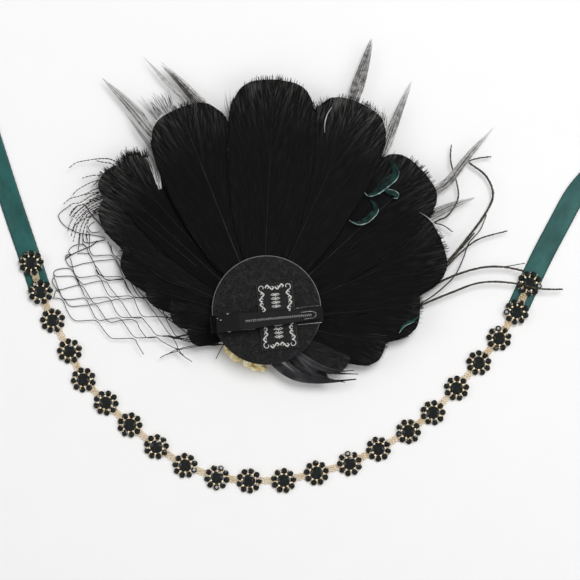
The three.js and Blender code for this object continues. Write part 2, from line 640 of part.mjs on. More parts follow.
// The lever seen from above, narrowing towards its tip, as a tall block to cut with
function leverPlan(inset) {
  const half = LEVER.half - inset;
  const tip = LEVER.tipHalf - inset;
  const past = leverEnd + LEVER.t;
  const outline = [
    [-LEVER.half, -half], [LEVER.flatTo, -half], [past, -tip],
    [past, tip], [LEVER.flatTo, half], [-LEVER.half, half],
  ];
  return solidOf(plate(outline, -leverTop, 3 * (leverTop + TAIL.rise)));
}

function toothedFoot() {
  const points = [];
  const labelEnd = LABEL.along + LABEL.width / 2 + SEAT_GAP;
  for (let x = leverEnd - TEETH.tipRoom; x >= TEETH.from; x -= TEETH.pitch) {
    const foot = x - TEETH.pitch > labelEnd ? footAtTip : footAtLabel;
    points.push([x, foot], [x - TEETH.pitch / 2, foot + TEETH.depth]);
  }
  return points;
}

function addLever() {
  const fall = LEVER_FALL.map(({ along, fall: share }) => [
    LEVER.flatTo + along * (leverEnd - LEVER.flatTo),
    leverTop - share * (leverTop - LEVER.tipH),
  ]);
  const top = [[LEVER.flatTo, leverTop], ...fall, [leverEnd, LEVER.tipH]];
  const tail = [[TAIL.bend - TAIL.lean, leverTop + TAIL.rise], [TAIL.bend, leverTop]];
  const hinge = [
    [LEVER.flatTo, footAtLabel], [PIN.along, PIN.h - 1.1 * EAR.r],
    [PIN.along - 0.9 * EAR.r, PIN.h - 0.7 * EAR.r], [PIN.along - 1.5 * EAR.r, PIN.h + 0.6 * EAR.r],
    [TAIL.bend, leverTop - 1.1 * LEVER.t], [TAIL.bend - 0.9 * LEVER.t, leverTop - LEVER.t],
    [TAIL.bend - 0.9 * LEVER.t - TAIL.lean, leverTop - 0.3 * LEVER.t + TAIL.rise],
  ];
  const outline = [...tail, ...top, [leverEnd, footAtTip], ...toothedFoot(), ...hinge].reverse();
  const under = top.map(([x, z]) => [Math.min(x, leverEnd - LEVER.t), z - LEVER.t]).reverse();
  const hollow = [
    [TAIL.bend + 0.1, -PIN.h], [leverEnd - LEVER.t, -PIN.h], ...under, [TAIL.bend + 0.1, leverTop - LEVER.t],
  ];
  const shell = solidOf(sidePlate(outline, -LEVER.half, LEVER.half)).intersect(leverPlan(0));
  const inside = solidOf(sidePlate(hollow, -LEVER.half, LEVER.half)).intersect(leverPlan(LEVER.t));
  const hole = solidOf(pinRod(PIN.r + PIN.clearance, LEVER.half + LEVER.t));
  addMesh("clip_lever", geometryOf(shell.subtract(inside).subtract(hole)), MATERIALS.clip, clipPlace);
}

// A coil around the pin, with one leg on the jaw and one under the lever, both towards the tip
function springGeometry() {
  const { wire, turns, pitch, footLeg, topLeg, facets, perTurn } = SPRING;
  const coilR = PIN.r + SPRING.gap + wire;
  const steps = Math.round(turns * perTurn);
  const ringAt = (share, forward) => {
    const angle = -Math.PI / 2 - 2 * Math.PI * turns * share;
    const ring = [];
    for (let j = 0; j < facets; j++) {
      const a = (-2 * Math.PI * j) / facets;
      const out = coilR + wire * Math.cos(a);
      const y = (share - 0.5) * turns * pitch + wire * Math.sin(a);
      ring.push([PIN.along + out * Math.cos(angle) + forward, y, PIN.h + out * Math.sin(angle)]);
    }
    return ring;
  };
  const coil = Array.from({ length: steps + 1 }, (_, i) => ringAt(i / steps, 0));
  return loft([ringAt(0, footLeg), ...coil, ringAt(1, topLeg)]);
}

function addPinAndSpring() {
  addMesh("clip_pin", pinRod(PIN.r, LEVER.half + PIN.stickOut), MATERIALS.steel, clipPlace);
  addMesh("clip_spring", springGeometry(), MATERIALS.steel, clipPlace);
}

function addLabel() {
  const { along, across, width, length, t, slope, shoulder } = LABEL;
  const raised = JAW.t + SEAT_GAP;
  const shoulderY = JAW.half + shoulder;
  const under = [
    [across - length / 2, 0], [-shoulderY - slope, 0], [-shoulderY, raised],
    [shoulderY, raised], [shoulderY + slope, 0], [across + length / 2, 0],
  ];
  const outline = [...under, ...under.map(([y, z]) => [y, z + t]).reverse()];
  const cloth = new THREE.ExtrudeGeometry(shapeOf(outline), { depth: width, bevelEnabled: false });
  const axes = [new THREE.Vector3(0, 1, 0), new THREE.Vector3(0, 0, 1), new THREE.Vector3(1, 0, 0)];
  cloth.applyMatrix4(new THREE.Matrix4().makeBasis(...axes)).translate(along - width / 2, 0, 0);
  addMesh("woven_label", cloth, MATERIALS.label, clipPlace);
}

// The origin goes under the middle of the whole outline, on the resting surface
function centreGroup() {
  group.updateMatrixWorld(true);
  const outline = new THREE.Box3().setFromObject(group, true);
  const middle = outline.getCenter(new THREE.Vector3());
  for (const mesh of group.children) mesh.position.sub(new THREE.Vector3(middle.x, middle.y, outline.min.z));
}

addBand();
addRibbon("ribbon_left", ribbonRoute(RIBBON_LEFT_ROUTE, true));
addRibbon("ribbon_right", ribbonRoute(RIBBON_RIGHT_ROUTE, false));
addFeatherFan();
addHackles("hackle_spray", HACKLES, HACKLE, MATERIALS.hackle);
addHackles("barred_hackle", BARRED_HACKLES, BARRED_HACKLE, MATERIALS.barred);
addHerls();
addVeil();
addGreenPlume();
addBrooch();
addFelt();
addClipBase();
addLever();
addPinAndSpring();
addLabel();
centreGroup();

export default group;
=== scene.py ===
import math
import random

import bmesh
import bpy
from mathutils import Euler, Matrix, Vector, noise


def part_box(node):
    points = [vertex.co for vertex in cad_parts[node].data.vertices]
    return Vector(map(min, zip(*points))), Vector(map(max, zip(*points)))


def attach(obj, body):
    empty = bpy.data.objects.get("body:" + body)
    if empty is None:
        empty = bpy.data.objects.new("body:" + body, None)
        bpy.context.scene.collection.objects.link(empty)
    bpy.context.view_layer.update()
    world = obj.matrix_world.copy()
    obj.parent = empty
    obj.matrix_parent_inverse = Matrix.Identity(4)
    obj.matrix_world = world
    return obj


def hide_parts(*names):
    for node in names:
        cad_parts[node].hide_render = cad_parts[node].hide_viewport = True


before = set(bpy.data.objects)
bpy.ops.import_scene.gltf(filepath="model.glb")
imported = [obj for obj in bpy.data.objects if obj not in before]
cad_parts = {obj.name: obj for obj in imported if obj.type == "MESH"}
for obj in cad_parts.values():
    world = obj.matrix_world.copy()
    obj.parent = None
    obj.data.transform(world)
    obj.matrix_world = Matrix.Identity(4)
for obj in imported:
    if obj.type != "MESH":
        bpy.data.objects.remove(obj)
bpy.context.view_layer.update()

# Studio: a pale floor with no edge in sight, a soft overhead light, two softer side ones and pale air around.
# The camera looks straight down on the whole headband, as it lies.
MM = 0.001


class Wire:
    """One output socket of a material, on which the arithmetic signs add Math nodes."""

    def __init__(self, finish, socket):
        self.finish = finish
        self.socket = socket

    def maths(self, operation, *values):
        return self.finish.node("ShaderNodeMath", {"operation": operation}, dict(enumerate(values)))

    def __add__(self, other):
        return self.maths("ADD", self, other)

    def __radd__(self, other):
        return self.maths("ADD", other, self)

    def __rsub__(self, other):
        return self.maths("SUBTRACT", other, self)

    def __mul__(self, other):
        return self.maths("MULTIPLY", self, other)

    def above(self, low, high):
        """0 below low, 1 above high, smooth between."""
        settings = {"interpolation_type": "SMOOTHSTEP"}
        values = {"Value": self, "From Min": low, "From Max": high}
        return self.finish.node("ShaderNodeMapRange", settings, values)


class Finish:
    """A material, built up from a Principled shader whose even values are set on its own sockets."""

    def __init__(self, name, **even):
        self.material = bpy.data.materials.new(name)
        self.material.use_nodes = True
        self.tree = self.material.node_tree
        self.shader = self.tree.nodes["Principled BSDF"]
        for socket, value in even.items():
            self.shader.inputs[socket.replace("_", " ")].default_value = value

    def node(self, kind, settings=None, values=None, output=0):
        made = self.tree.nodes.new(kind)
        for name, value in (settings or {}).items():
            setattr(made, name, value)
        for socket, value in (values or {}).items():
            self.feed(made.inputs[socket], value)
        return Wire(self, made.outputs[output])

    def feed(self, socket, value):
        if isinstance(value, Wire):
            self.tree.links.new(value.socket, socket)
        else:
            socket.default_value = value

    def place(self, shift=(0, 0, 0)):
        """The piece's own coordinates in millimetres, shifted."""
        own = self.node("ShaderNodeTexCoord", output="Object")
        values = {"Vector": own, "Location": shift, "Scale": [1 / MM] * 3}
        return self.node("ShaderNodeMapping", None, values)

    def stored(self, name, output="Vector"):
        """A value kept on the mesh."""
        return self.node("ShaderNodeAttribute", {"attribute_name": name}, output=output)

    def scaled(self, vector, scale):
        return self.node("ShaderNodeVectorMath", {"operation": "MULTIPLY"}, {0: vector, 1: scale})

    def part(self, vector, axis):
        return self.node("ShaderNodeSeparateXYZ", None, {0: vector}, output=axis)

    def grain(self, vector, scale=1.0, detail=2.0, rough=0.5):
        values = {"Vector": vector, "Scale": scale, "Detail": detail, "Roughness": rough}
        return self.node("ShaderNodeTexNoise", None, values, output="Fac")

    def blend(self, share, a, b):
        return self.node("ShaderNodeMix", {"data_type": "RGBA"}, {0: share, 6: a, 7: b}, output=2)

    def sine(self, value):
        return self.node("ShaderNodeMath", {"operation": "SINE"}, {0: value})

    def relief(self, height, depth_mm, strength):
        values = {"Height": height, "Distance": depth_mm * MM, "Strength": strength}
        return self.node("ShaderNodeBump", None, values, output="Normal")

    def finish(self, **varied):
        for socket, value in varied.items():
            self.feed(self.shader.inputs[socket.replace("_", " ")], value)
        return self


def tint(red, green, blue):
    """A colour as seen on the screen, 0 to 255, as the shader takes it."""
    shares = [c / 255 for c in (red, green, blue)]
    return (*[s / 12.92 if s <= 0.04045 else ((s + 0.055) / 1.055) ** 2.4 for s in shares], 1.0)


def mottled(name, low, high, scale, detail, edges, rough, **even):
    """A finish that wanders between two tints and is a little rougher where it is paler."""
    made = Finish(name, **even)
    tone = made.grain(made.place(), scale, detail)
    share = tone.above(*edges) if edges else tone
    made.finish(Base_Color=made.blend(share, tint(*low), tint(*high)), Roughness=rough[0] + tone * rough[1])
    return made


FLOOR_HALF = 2.0
FLOOR_TONES = ((0.87, 0.87, 0.87, 1), (0.89, 0.89, 0.89, 1))
# each light's name, place and size in metres, and its power
LIGHTS = (
    ("overhead", (0.45, 0.7, 1.6), 0.9, 19.5),
    ("left", (-1.3, 0.3, 0.9), 0.9, 3.6),
    ("right", (1.2, -0.2, 1.0), 0.9, 3.6),
)
AIR = 0.42
# the view's middle on the floor, in millimetres, and its side and the camera's height in metres
VIEW_MIDDLE = (0.004, -11.138)
VIEW_SIDE = 0.29
CAMERA_HEIGHT = 1.5


def studio():
    bm = bmesh.new()
    bmesh.ops.create_grid(bm, x_segments=1, y_segments=1, size=FLOOR_HALF)
    mesh = bpy.data.meshes.new("floor")
    bm.to_mesh(mesh)
    floor = bpy.data.objects.new("floor", mesh)
    bpy.context.scene.collection.objects.link(floor)
    floor.location.z = -0.05 * MM
    paper = Finish("paper", Roughness=0.9, Specular_IOR_Level=0.1)
    tone = paper.grain(paper.place(), 0.05, 2)
    mesh.materials.append(paper.finish(Base_Color=paper.blend(tone, *FLOOR_TONES)).material)

    for name, spot, size, power in LIGHTS:
        light = bpy.data.lights.new(name, "AREA")
        light.shape = "DISK"
        light.size = size
        light.energy = power
        lamp = bpy.data.objects.new(name, light)
        lamp.location = spot
        lamp.rotation_euler = (-Vector(spot)).to_track_quat("-Z", "Y").to_euler()
        bpy.context.scene.collection.objects.link(lamp)
    world = bpy.data.worlds.new("air")
    world.use_nodes = True
    world.node_tree.nodes["Background"].inputs["Color"].default_value = (1, 1, 1, 1)
    world.node_tree.nodes["Background"].inputs["Strength"].default_value = AIR
    bpy.context.scene.world = world
    bpy.context.scene.view_settings.view_transform = "Standard"

    camera = bpy.data.cameras.new("camera")
    camera.sensor_width = 36.0
    camera.lens = camera.sensor_width * CAMERA_HEIGHT / VIEW_SIDE
    camera.clip_end = 20.0
    eye = bpy.data.objects.new("camera", camera)
    eye.location = (VIEW_MIDDLE[0] * MM, VIEW_MIDDLE[1] * MM, CAMERA_HEIGHT)
    bpy.context.scene.collection.objects.link(eye)
    bpy.context.scene.camera = eye


studio()


# Ribbon ties: teal satin ribbon with a dotted picot edge, tucked under the band's last two rosettes at each end
# and glued to their backs. Each runs on past the view and ends in a plain straight cut.
# how finely a route is worked out between two of its points
ROUTE_STEPS = 24


def length_of(line):
    """A line's length in millimetres."""
    return sum((q - p).length for p, q in zip(line, line[1:])) / MM


def smooth_route(points, count):
    """Evenly spaced points, in metres, on the smooth line through points given in millimetres."""
    knots = [Vector((*p, 0.0)[:3]) * MM for p in points]
    line = [2 * knots[0] - knots[1], *knots, 2 * knots[-1] - knots[-2]]
    fine = []
    for a, b, c, d in zip(line, line[1:], line[2:], line[3:]):
        ab, bc, cd = (max((q - p).length, 1e-9) ** 0.5 for p, q in ((a, b), (b, c), (c, d)))
        leave = ((b - a) / ab - (c - a) / (ab + bc) + (c - b) / bc) * bc
        arrive = ((c - b) / bc - (d - b) / (bc + cd) + (d - c) / cd) * bc
        for i in range(ROUTE_STEPS):
            t = i / ROUTE_STEPS
            fine.append(
                (2 * t**3 - 3 * t**2 + 1) * b + (t**3 - 2 * t**2 + t) * leave
                + (3 * t**2 - 2 * t**3) * c + (t**3 - t**2) * arrive
            )
    fine.append(knots[-1])
    lengths = [0.0]
    for p, q in zip(fine, fine[1:]):
        lengths.append(lengths[-1] + (q - p).length)
    even = []
    k = 0
    for i in range(count):
        wanted = lengths[-1] * i / (count - 1)
        while k + 2 < len(lengths) and lengths[k + 1] < wanted:
            k += 1
        run = max(lengths[k + 1] - lengths[k], 1e-12)
        even.append(fine[k].lerp(fine[k + 1], min(max((wanted - lengths[k]) / run, 0.0), 1.0)))
    return even


def piece(name, mesh, slot, *finishes, body="root", replaces=()):
    """A finished mesh as one piece of the headband."""
    made = bpy.data.objects.new(name, mesh)
    bpy.context.scene.collection.objects.link(made)
    for finish in finishes:
        mesh.materials.append(finish.material)
    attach(made, body)
    if replaces:
        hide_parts(*replaces)
    return made


def mesh_of(bm, name, smooth=True, merge=1e-7):
    if merge:
        bmesh.ops.remove_doubles(bm, verts=bm.verts, dist=merge)
    bmesh.ops.recalc_face_normals(bm, faces=bm.faces)
    mesh = bpy.data.meshes.new(name)
    bm.to_mesh(mesh)
    bm.free()
    if smooth:
        mesh.shade_smooth()
    return mesh


def rosette_middle(number):
    low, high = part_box(f"rosette_{number:02d}")
    return (low + high) / 2 / MM


RIBBON_WIDTH = 10.6
RIBBON_THICK = 0.35
RIBBON_STEPS = 119
# the picot edge's dots: how fast they come along the ribbon
PICOT = 7.4
# the two rosettes that each ribbon starts under, and its route beyond them
RIBBONS = {
    "ribbon_left": ((2, 1), [(-139.3, 32.36), (-152.0, 71.86)]),
    "ribbon_right": ((21, 22), [(125.2, 4.16), (134.6, 22.06), (142.8, 36.66), (153.0, 48.66)]),
}


def ribbons():
    satin = Finish("teal_satin", Specular_IOR_Level=0.3, Sheen_Weight=0.08, Sheen_Roughness=0.4)
    lane = satin.stored("lane")
    along, across = satin.part(lane, 0), satin.part(lane, 1)
    cloudy = satin.grain(satin.scaled(lane, (0.055, 0.1, 1)), 1.0, 3, 0.6)
    threads = satin.grain(satin.scaled(lane, (9.0, 0.35, 1)), 1.0, 2)
    ribs = satin.sine(along * 14.0)
    edge = across.maths("ABSOLUTE", across)
    picot = edge.above(4.65, 4.95)
    dots = satin.sine(along * PICOT).above(-0.2, 0.5)
    # painted sheen: the satin's paler cloudy patches and fine sparkle are painted into its colour
    painted_sheen = (cloudy * 0.8 + threads * 0.35).above(0.35, 0.85)
    sparkle = satin.grain(satin.place(), 2.6, 2, 0.7).above(0.3, 0.7)
    body = satin.blend(painted_sheen * 0.65 + sparkle * 0.35, tint(8, 54, 52), tint(34, 100, 96))
    rim = satin.blend(dots, tint(14, 34, 33), tint(52, 104, 98))
    relief = ribs * 0.3 + threads * 0.5 + picot * dots
    satin.finish(
        Base_Color=satin.blend(picot, body, rim),
        Roughness=0.52 - painted_sheen * 0.14,
        Normal=satin.relief(relief, 0.06, 0.6),
    )
    for name, (under, beyond) in RIBBONS.items():
        middles = [rosette_middle(n)[:2] for n in under]
        inner, outer = Vector(middles[0]), Vector(middles[1])
        start = inner + (inner - outer).normalized() * 1.5
        line = smooth_route([tuple(start), *middles, *beyond], RIBBON_STEPS + 1)
        bm = bmesh.new()
        bmesh.ops.create_grid(bm, x_segments=12, y_segments=RIBBON_STEPS, size=1.0)
        lane_of = bm.verts.layers.float_vector.new("lane")
        run = length_of(line)
        for v in bm.verts:
            step = round((v.co.y + 1) / 2 * RIBBON_STEPS)
            ahead = (line[min(step + 1, RIBBON_STEPS)] - line[max(step - 1, 0)]).normalized()
            side = Vector((-ahead.y, ahead.x, 0))
            across_mm = v.co.x * RIBBON_WIDTH / 2
            along_mm = run * step / RIBBON_STEPS
            ripple = 0.12 * noise.noise(Vector((along_mm * 0.06, across_mm * 0.08, 3.0)))
            scallop = 0.12 * math.sin(along_mm * PICOT) if abs(v.co.x) > 0.99 else 0.0
            reach = across_mm + math.copysign(scallop, v.co.x)
            past = min(max((step / RIBBON_STEPS * run - 24) / 12, 0), 1)
            cup = 0.2 * past * v.co.x**2
            v[lane_of] = (along_mm, across_mm, 0)
            v.co = line[step] + side * reach * MM + Vector((0, 0, (0.45 + cup + ripple) * MM))
        bmesh.ops.recalc_face_normals(bm, faces=bm.faces)
        bmesh.ops.solidify(bm, geom=bm.faces, thickness=RIBBON_THICK * MM)
        made = piece(name + "_satin", mesh_of(bm, name), "satin", satin, replaces=(name,))


ribbons()


# Rosettes: a ring of nine small black glass stones around a large one, each in a gilt cup, soldered on a gilt
# back, with gilt claws bent over the stones. Every stone sits a little askew, so each one glints its own way.
def gilt_finish():
    gilt = Finish("pale_gilt", Metallic=0.15, Specular_IOR_Level=0.7)
    spot = gilt.place()
    worn = gilt.grain(spot, 0.9, 3)
    fine = gilt.grain(spot, 6.0, 2)
    gilt.finish(
        Base_Color=gilt.blend(worn.above(0.35, 0.7), tint(222, 190, 138), tint(254, 244, 216)),
        Roughness=0.25 + fine * 0.2,
        Normal=gilt.relief(fine, 0.03, 0.5),
    )
    return gilt


GILT = gilt_finish()


def stone_finish():
    glass = Finish("black_green_glass", Roughness=0.05, IOR=1.5)
    cloud = glass.grain(glass.place(), 0.5, 2)
    glass.finish(Base_Color=glass.blend(cloud.above(0.35, 0.65), tint(3, 5, 4), tint(12, 22, 20)))
    return glass


def stone_template(radius, height, sides, table_share, wall):
    """A stone with a flat table, sloping facets and a straight wall, standing on z 0."""
    bm = bmesh.new()
    verts = bmesh.ops.create_circle(bm, cap_ends=True, radius=radius * MM, segments=sides)["verts"]
    face = list({f for v in verts for f in v.link_faces})
    for rise, share in ((wall, 1.0), (height * 0.55, (1 + 2 * table_share) / 3), (height * 0.45, table_share)):
        up = bmesh.ops.extrude_face_region(bm, geom=face)
        top = [g for g in up["geom"] if isinstance(g, bmesh.types.BMVert)]
        old = face
        face = [g for g in up["geom"] if isinstance(g, bmesh.types.BMFace)]
        middle = sum((v.co for v in top), Vector()) / len(top)
        size = share * radius * MM / (top[0].co - middle).length
        turn = Matrix.Rotation(math.pi / sides if share < 1 else 0, 4, "Z")
        flat = Matrix.Scale(size, 4, (1, 0, 0)) @ Matrix.Scale(size, 4, (0, 1, 0))
        shift = Matrix.Translation(-middle)
        bmesh.ops.transform(bm, matrix=shift.inverted() @ turn @ flat @ shift, verts=top)
        bmesh.ops.translate(bm, verts=top, vec=(0, 0, rise * MM))
        bmesh.ops.delete(bm, geom=[f for f in old if f.is_valid and f not in face], context="FACES_ONLY")
    return mesh_of(bm, "stone", smooth=False)


def add_copy(bm, template, matrix):
    """Adds a copy of a finished shape in its place."""
    copy = template.copy()
    copy.transform(matrix)
    bm.from_mesh(copy)
    bpy.data.meshes.remove(copy)


ROSETTES = 22
BACK_R = 2.5
PETALS = 9
PETAL_RING = 4.95
# the claws between two small stones: reach from the middle, height, half width and half length
CLAWS = ((3.55, 1.9, 0.56, 0.6), (4.5, 1.45, 0.38, 0.45), (5.6, 1.1, 0.26, 0.4))


def claw_template():
    bm = bmesh.new()
    bmesh.ops.create_icosphere(bm, subdivisions=1, radius=1.0)
    return mesh_of(bm, "claw")


def cup_template(radius, height, sides):
    """An open cup with a thin wall, standing on z 0."""
    bm = bmesh.new()
    ring = bmesh.ops.create_circle(bm, radius=radius * MM, segments=sides)["verts"]
    edges = list({e for v in ring for e in v.link_edges})
    for share, rise in ((1.06, height), (0.9, 0.0), (0.84, -height * 0.6)):
        up = bmesh.ops.extrude_edge_only(bm, edges=edges)
        ring = [g for g in up["geom"] if isinstance(g, bmesh.types.BMVert)]
        edges = [g for g in up["geom"] if isinstance(g, bmesh.types.BMEdge)]
        reach = (ring[0].co.xy).length
        size = share * radius * MM / reach
        bmesh.ops.scale(bm, vec=(size, size, 1), verts=ring)
        bmesh.ops.translate(bm, verts=ring, vec=(0, 0, rise * MM))
    bmesh.ops.contextual_create(bm, geom=edges)
    bottom = [e for e in bm.edges if e.is_boundary]
    bmesh.ops.contextual_create(bm, geom=bottom)
    return mesh_of(bm, "cup")


def askew(amount):
    """A small random tilt and any turn."""
    tilts = random.gauss(0, amount), random.gauss(0, amount), random.uniform(0, 6.28)
    return Euler(tilts).to_matrix().to_4x4()


def rosettes():
    random.seed(4)
    small = stone_template(1.55, 0.62, 8, 0.5, 0.2)
    large = stone_template(3.3, 0.95, 12, 0.55, 0.3)
    small_cup = cup_template(1.12, 0.4, 12)
    large_cup = cup_template(2.5, 0.65, 20)
    claw = claw_template()
    stones, metal = bmesh.new(), bmesh.new()
    for number in range(1, ROSETTES + 1):
        low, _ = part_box(f"rosette_{number:02d}")
        middle = rosette_middle(number)
        fore, aft = rosette_middle(min(number + 1, ROSETTES)), rosette_middle(max(number - 1, 1))
        heading = math.atan2(fore.y - aft.y, fore.x - aft.x)
        seat = Matrix.Translation(Vector((middle.x, middle.y, low.z / MM)) * MM) @ Matrix.Rotation(heading, 4, "Z")
        back = Matrix.Translation((0, 0, 0.45 * MM))
        bmesh.ops.create_cone(
            metal, cap_ends=True, segments=18, radius1=BACK_R * MM, radius2=BACK_R * MM,
            depth=0.7 * MM, matrix=seat @ back,
        )
        add_copy(metal, large_cup, seat @ Matrix.Translation((0, 0, 0.6 * MM)))
        lift = Matrix.Translation((0, 0, 1.25 * MM))
        add_copy(stones, large, seat @ lift @ askew(0.05))
        for i in range(PETALS):
            a = 2 * math.pi * i / PETALS
            ring = Matrix.Rotation(a, 4, "Z") @ Matrix.Translation((PETAL_RING * MM, 0, 0.5 * MM))
            add_copy(metal, small_cup, seat @ ring)
            add_copy(stones, small, seat @ ring @ Matrix.Translation((0, 0, 0.42 * MM)) @ askew(0.13))
            for reach, height, wide, tall in CLAWS:
                b = a + math.pi / PETALS + random.gauss(0, 0.05)
                reach += random.gauss(0, 0.14)
                spot = Vector((reach * math.cos(b), reach * math.sin(b), height)) * MM
                shape = Matrix.Diagonal((tall * MM, wide * random.uniform(0.75, 1.15) * MM, 0.4 * MM, 1))
                add_copy(metal, claw, seat @ Matrix.Translation(spot) @ Matrix.Rotation(b, 4, "Z") @ shape)
    nodes = [f"rosette_{n:02d}" for n in range(1, ROSETTES + 1)]
    stones = mesh_of(stones, "band_stones", smooth=False, merge=0)
    piece("band_stones", stones, "rhinestone", stone_finish(), replaces=nodes)
    settings = mesh_of(metal, "band_settings", merge=0)
    settings.set_sharp_from_angle(angle=math.radians(40))
    piece("band_settings", settings, "gold", GILT)


rosettes()


# Chain between the rosettes: three side-by-side strands of tiny gilt oval links, each soldered to both rosettes.
# links in a strand, and how far from a rosette's middle a strand ends
LINKS = 5
CHAIN_INSIDE = 5.0


def chain():
    random.seed(5)
    bm = bmesh.new()
    ring = bmesh.ops.create_circle(bm, radius=0.15 * MM, segments=4)["verts"]
    bmesh.ops.rotate(bm, verts=ring, cent=(0, 0, 0), matrix=Matrix.Rotation(math.pi / 2, 3, "X"))
    bmesh.ops.translate(bm, verts=ring, vec=(0.6 * MM, 0, 0))
    geom = ring + list({e for v in ring for e in v.link_edges})
    bmesh.ops.spin(bm, geom=geom, cent=(0, 0, 0), axis=(0, 0, 1), angle=2 * math.pi, steps=9, use_merge=True)
    bmesh.ops.scale(bm, verts=bm.verts, vec=(1.35, 1, 1))
    link = mesh_of(bm, "link", merge=1e-6)
    links = bmesh.new()
    for number in range(1, ROSETTES):
        a, b = rosette_middle(number), rosette_middle(number + 1)
        for end, n in ((a, number), (b, number + 1)):
            end.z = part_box(f"rosette_{n:02d}")[0].z / MM + 0.6
        ahead = (b - a).normalized()
        side = Vector((-ahead.y, ahead.x, 0)).normalized()
        span = (b - a).length - 2 * CHAIN_INSIDE
        for lane in (-1, 0, 1):
            for k in range(LINKS):
                share = (k + 0.5) / LINKS
                off = lane * 1.3 * (1 - 0.1 * math.sin(math.pi * share))
                spot = a + ahead * (CHAIN_INSIDE + span * share) + side * off
                spot.z += 0.08 * math.sin(3 * k + lane)
                tilt = Matrix.Rotation(math.radians(38 if k % 2 else -38) + random.gauss(0, 0.1), 4, "X")
                head = Matrix.Rotation(math.atan2(ahead.y, ahead.x) + random.gauss(0, 0.06), 4, "Z")
                add_copy(links, link, Matrix.Translation(spot * MM) @ head @ tilt)
    nodes = [f"chain_link_{n:02d}" for n in range(1, ROSETTES)]
    piece("chain_strands", mesh_of(links, "chain_strands", merge=0), "gold", GILT, replaces=nodes)


chain()


# Brooch on the ornament's face, seen only where it looks out at the bottom: a gilt plate with a hammered dome,
# ringed by cast gilt nuggets.
HUB = Vector((-13.996, -25.138, 0.0))
PLATE_R = 20.0
PLATE_Z = 4.5
RING_NUGGETS = 16
# the nuggets outside the ring: direction in degrees, reach and size
OUTER_NUGGETS = (
    (-124, 22.6, 3.7), (-107, 23.4, 2.8), (-94, 23.1, 3.2), (-90, 24.8, 2.3),
    (-99, 24.8, 2.1), (-141, 22.2, 2.3), (-135, 23.3, 2.0),
)
# reach and depth of the dome's two steps
DOMES = ((12.6, 2.1), (9.0, 3.4))


def brooch():
    random.seed(8)
    bm = bmesh.new()
    plate = Matrix.Translation((HUB + Vector((0, 0, PLATE_Z))) * MM)
    wide = PLATE_R * MM
    bmesh.ops.create_cone(bm, cap_ends=True, segments=48, radius1=wide, radius2=wide, depth=1.3 * MM, matrix=plate)
    spots = []
    for i in range(RING_NUGGETS):
        spots.append((2 * math.pi * (i + 0.5) / RING_NUGGETS - 0.06, 20.2 if i % 2 else 19.4, 3.6))
    spots += [(math.radians(a), r, s) for a, r, s in OUTER_NUGGETS]
    for angle, reach, size in spots:
        made = bmesh.ops.create_icosphere(bm, subdivisions=3, radius=1.0)["verts"]
        seed = random.uniform(0, 50)
        for v in made:
            lumps = noise.noise(v.co * 1.3 + Vector((seed, 0, 0))) * 0.3
            dents = noise.noise(v.co * 3.1 + Vector((0, seed, 0))) * 0.12
            v.co *= 1 + (lumps + dents)
        shape = Matrix.Diagonal((size * MM, size * 0.82 * MM, 2.1 * MM, 1))
        spot = HUB + Vector((reach * math.cos(angle), reach * math.sin(angle), 2.75))
        turn = Matrix.Rotation(angle + math.pi / 2 + random.gauss(0, 0.3), 4, "Z")
        bmesh.ops.transform(bm, matrix=Matrix.Translation(spot * MM) @ turn @ shape, verts=made)
    for reach, deep in DOMES:
        made = bmesh.ops.create_uvsphere(bm, u_segments=40, v_segments=16, radius=1.0)["verts"]
        for v in made:
            v.co *= 1 + 0.03 * noise.noise(v.co * 5.0)
        shape = Matrix.Diagonal((reach * MM, reach * MM, deep * MM, 1))
        bmesh.ops.transform(bm, matrix=Matrix.Translation((HUB + Vector((0, 0, 4.0))) * MM) @ shape, verts=made)
    gold = Finish("cast_gold", Metallic=0.5)
    spot = gold.place()
    pits = gold.grain(spot, 1.1, 4, 0.65)
    tone = gold.grain(spot, 0.25, 2)
    gold.finish(
        Base_Color=gold.blend(tone.above(0.35, 0.65), tint(240, 216, 152), tint(255, 245, 202)),
        Roughness=0.25 + pits * 0.3,
        Normal=gold.relief(pits, 0.35, 0.7),
    )
    mesh = mesh_of(bm, "gold_nuggets", merge=0)
    mesh.set_sharp_from_angle(angle=math.radians(50))
    piece("gold_nuggets", mesh, "gold", gold, replaces=("gold_brooch",))


brooch()


# Black feathers: sixteen goose feathers with rounded tips, laid like a fan with their undersides up. Each has a
# slightly domed vane of barbs that fray at the edge, and a quill along it.
# how far a point sinks at a reach from the hub
DROOP = 3.0
DROOP_REACH = 150.0
# the longest feather and the widest half vane, and how far from the hub a vane starts
LONGEST = 120.5
WIDEST = 22.0
ROOT = 5.0
LOWER_Z = 8.3
UPPER_Z = 11.8
# how far a vane's edge hangs below its quill
DOME = 0.4
# a vane's outline: share of its length and of its half width
VANE = (
    (0, 0.14), (0.14, 0.34), (0.3, 0.66), (0.5, 0.9), (0.72, 1), (0.88, 0.93), (0.95, 0.77), (0.985, 0.54), (1, 0.1),
)
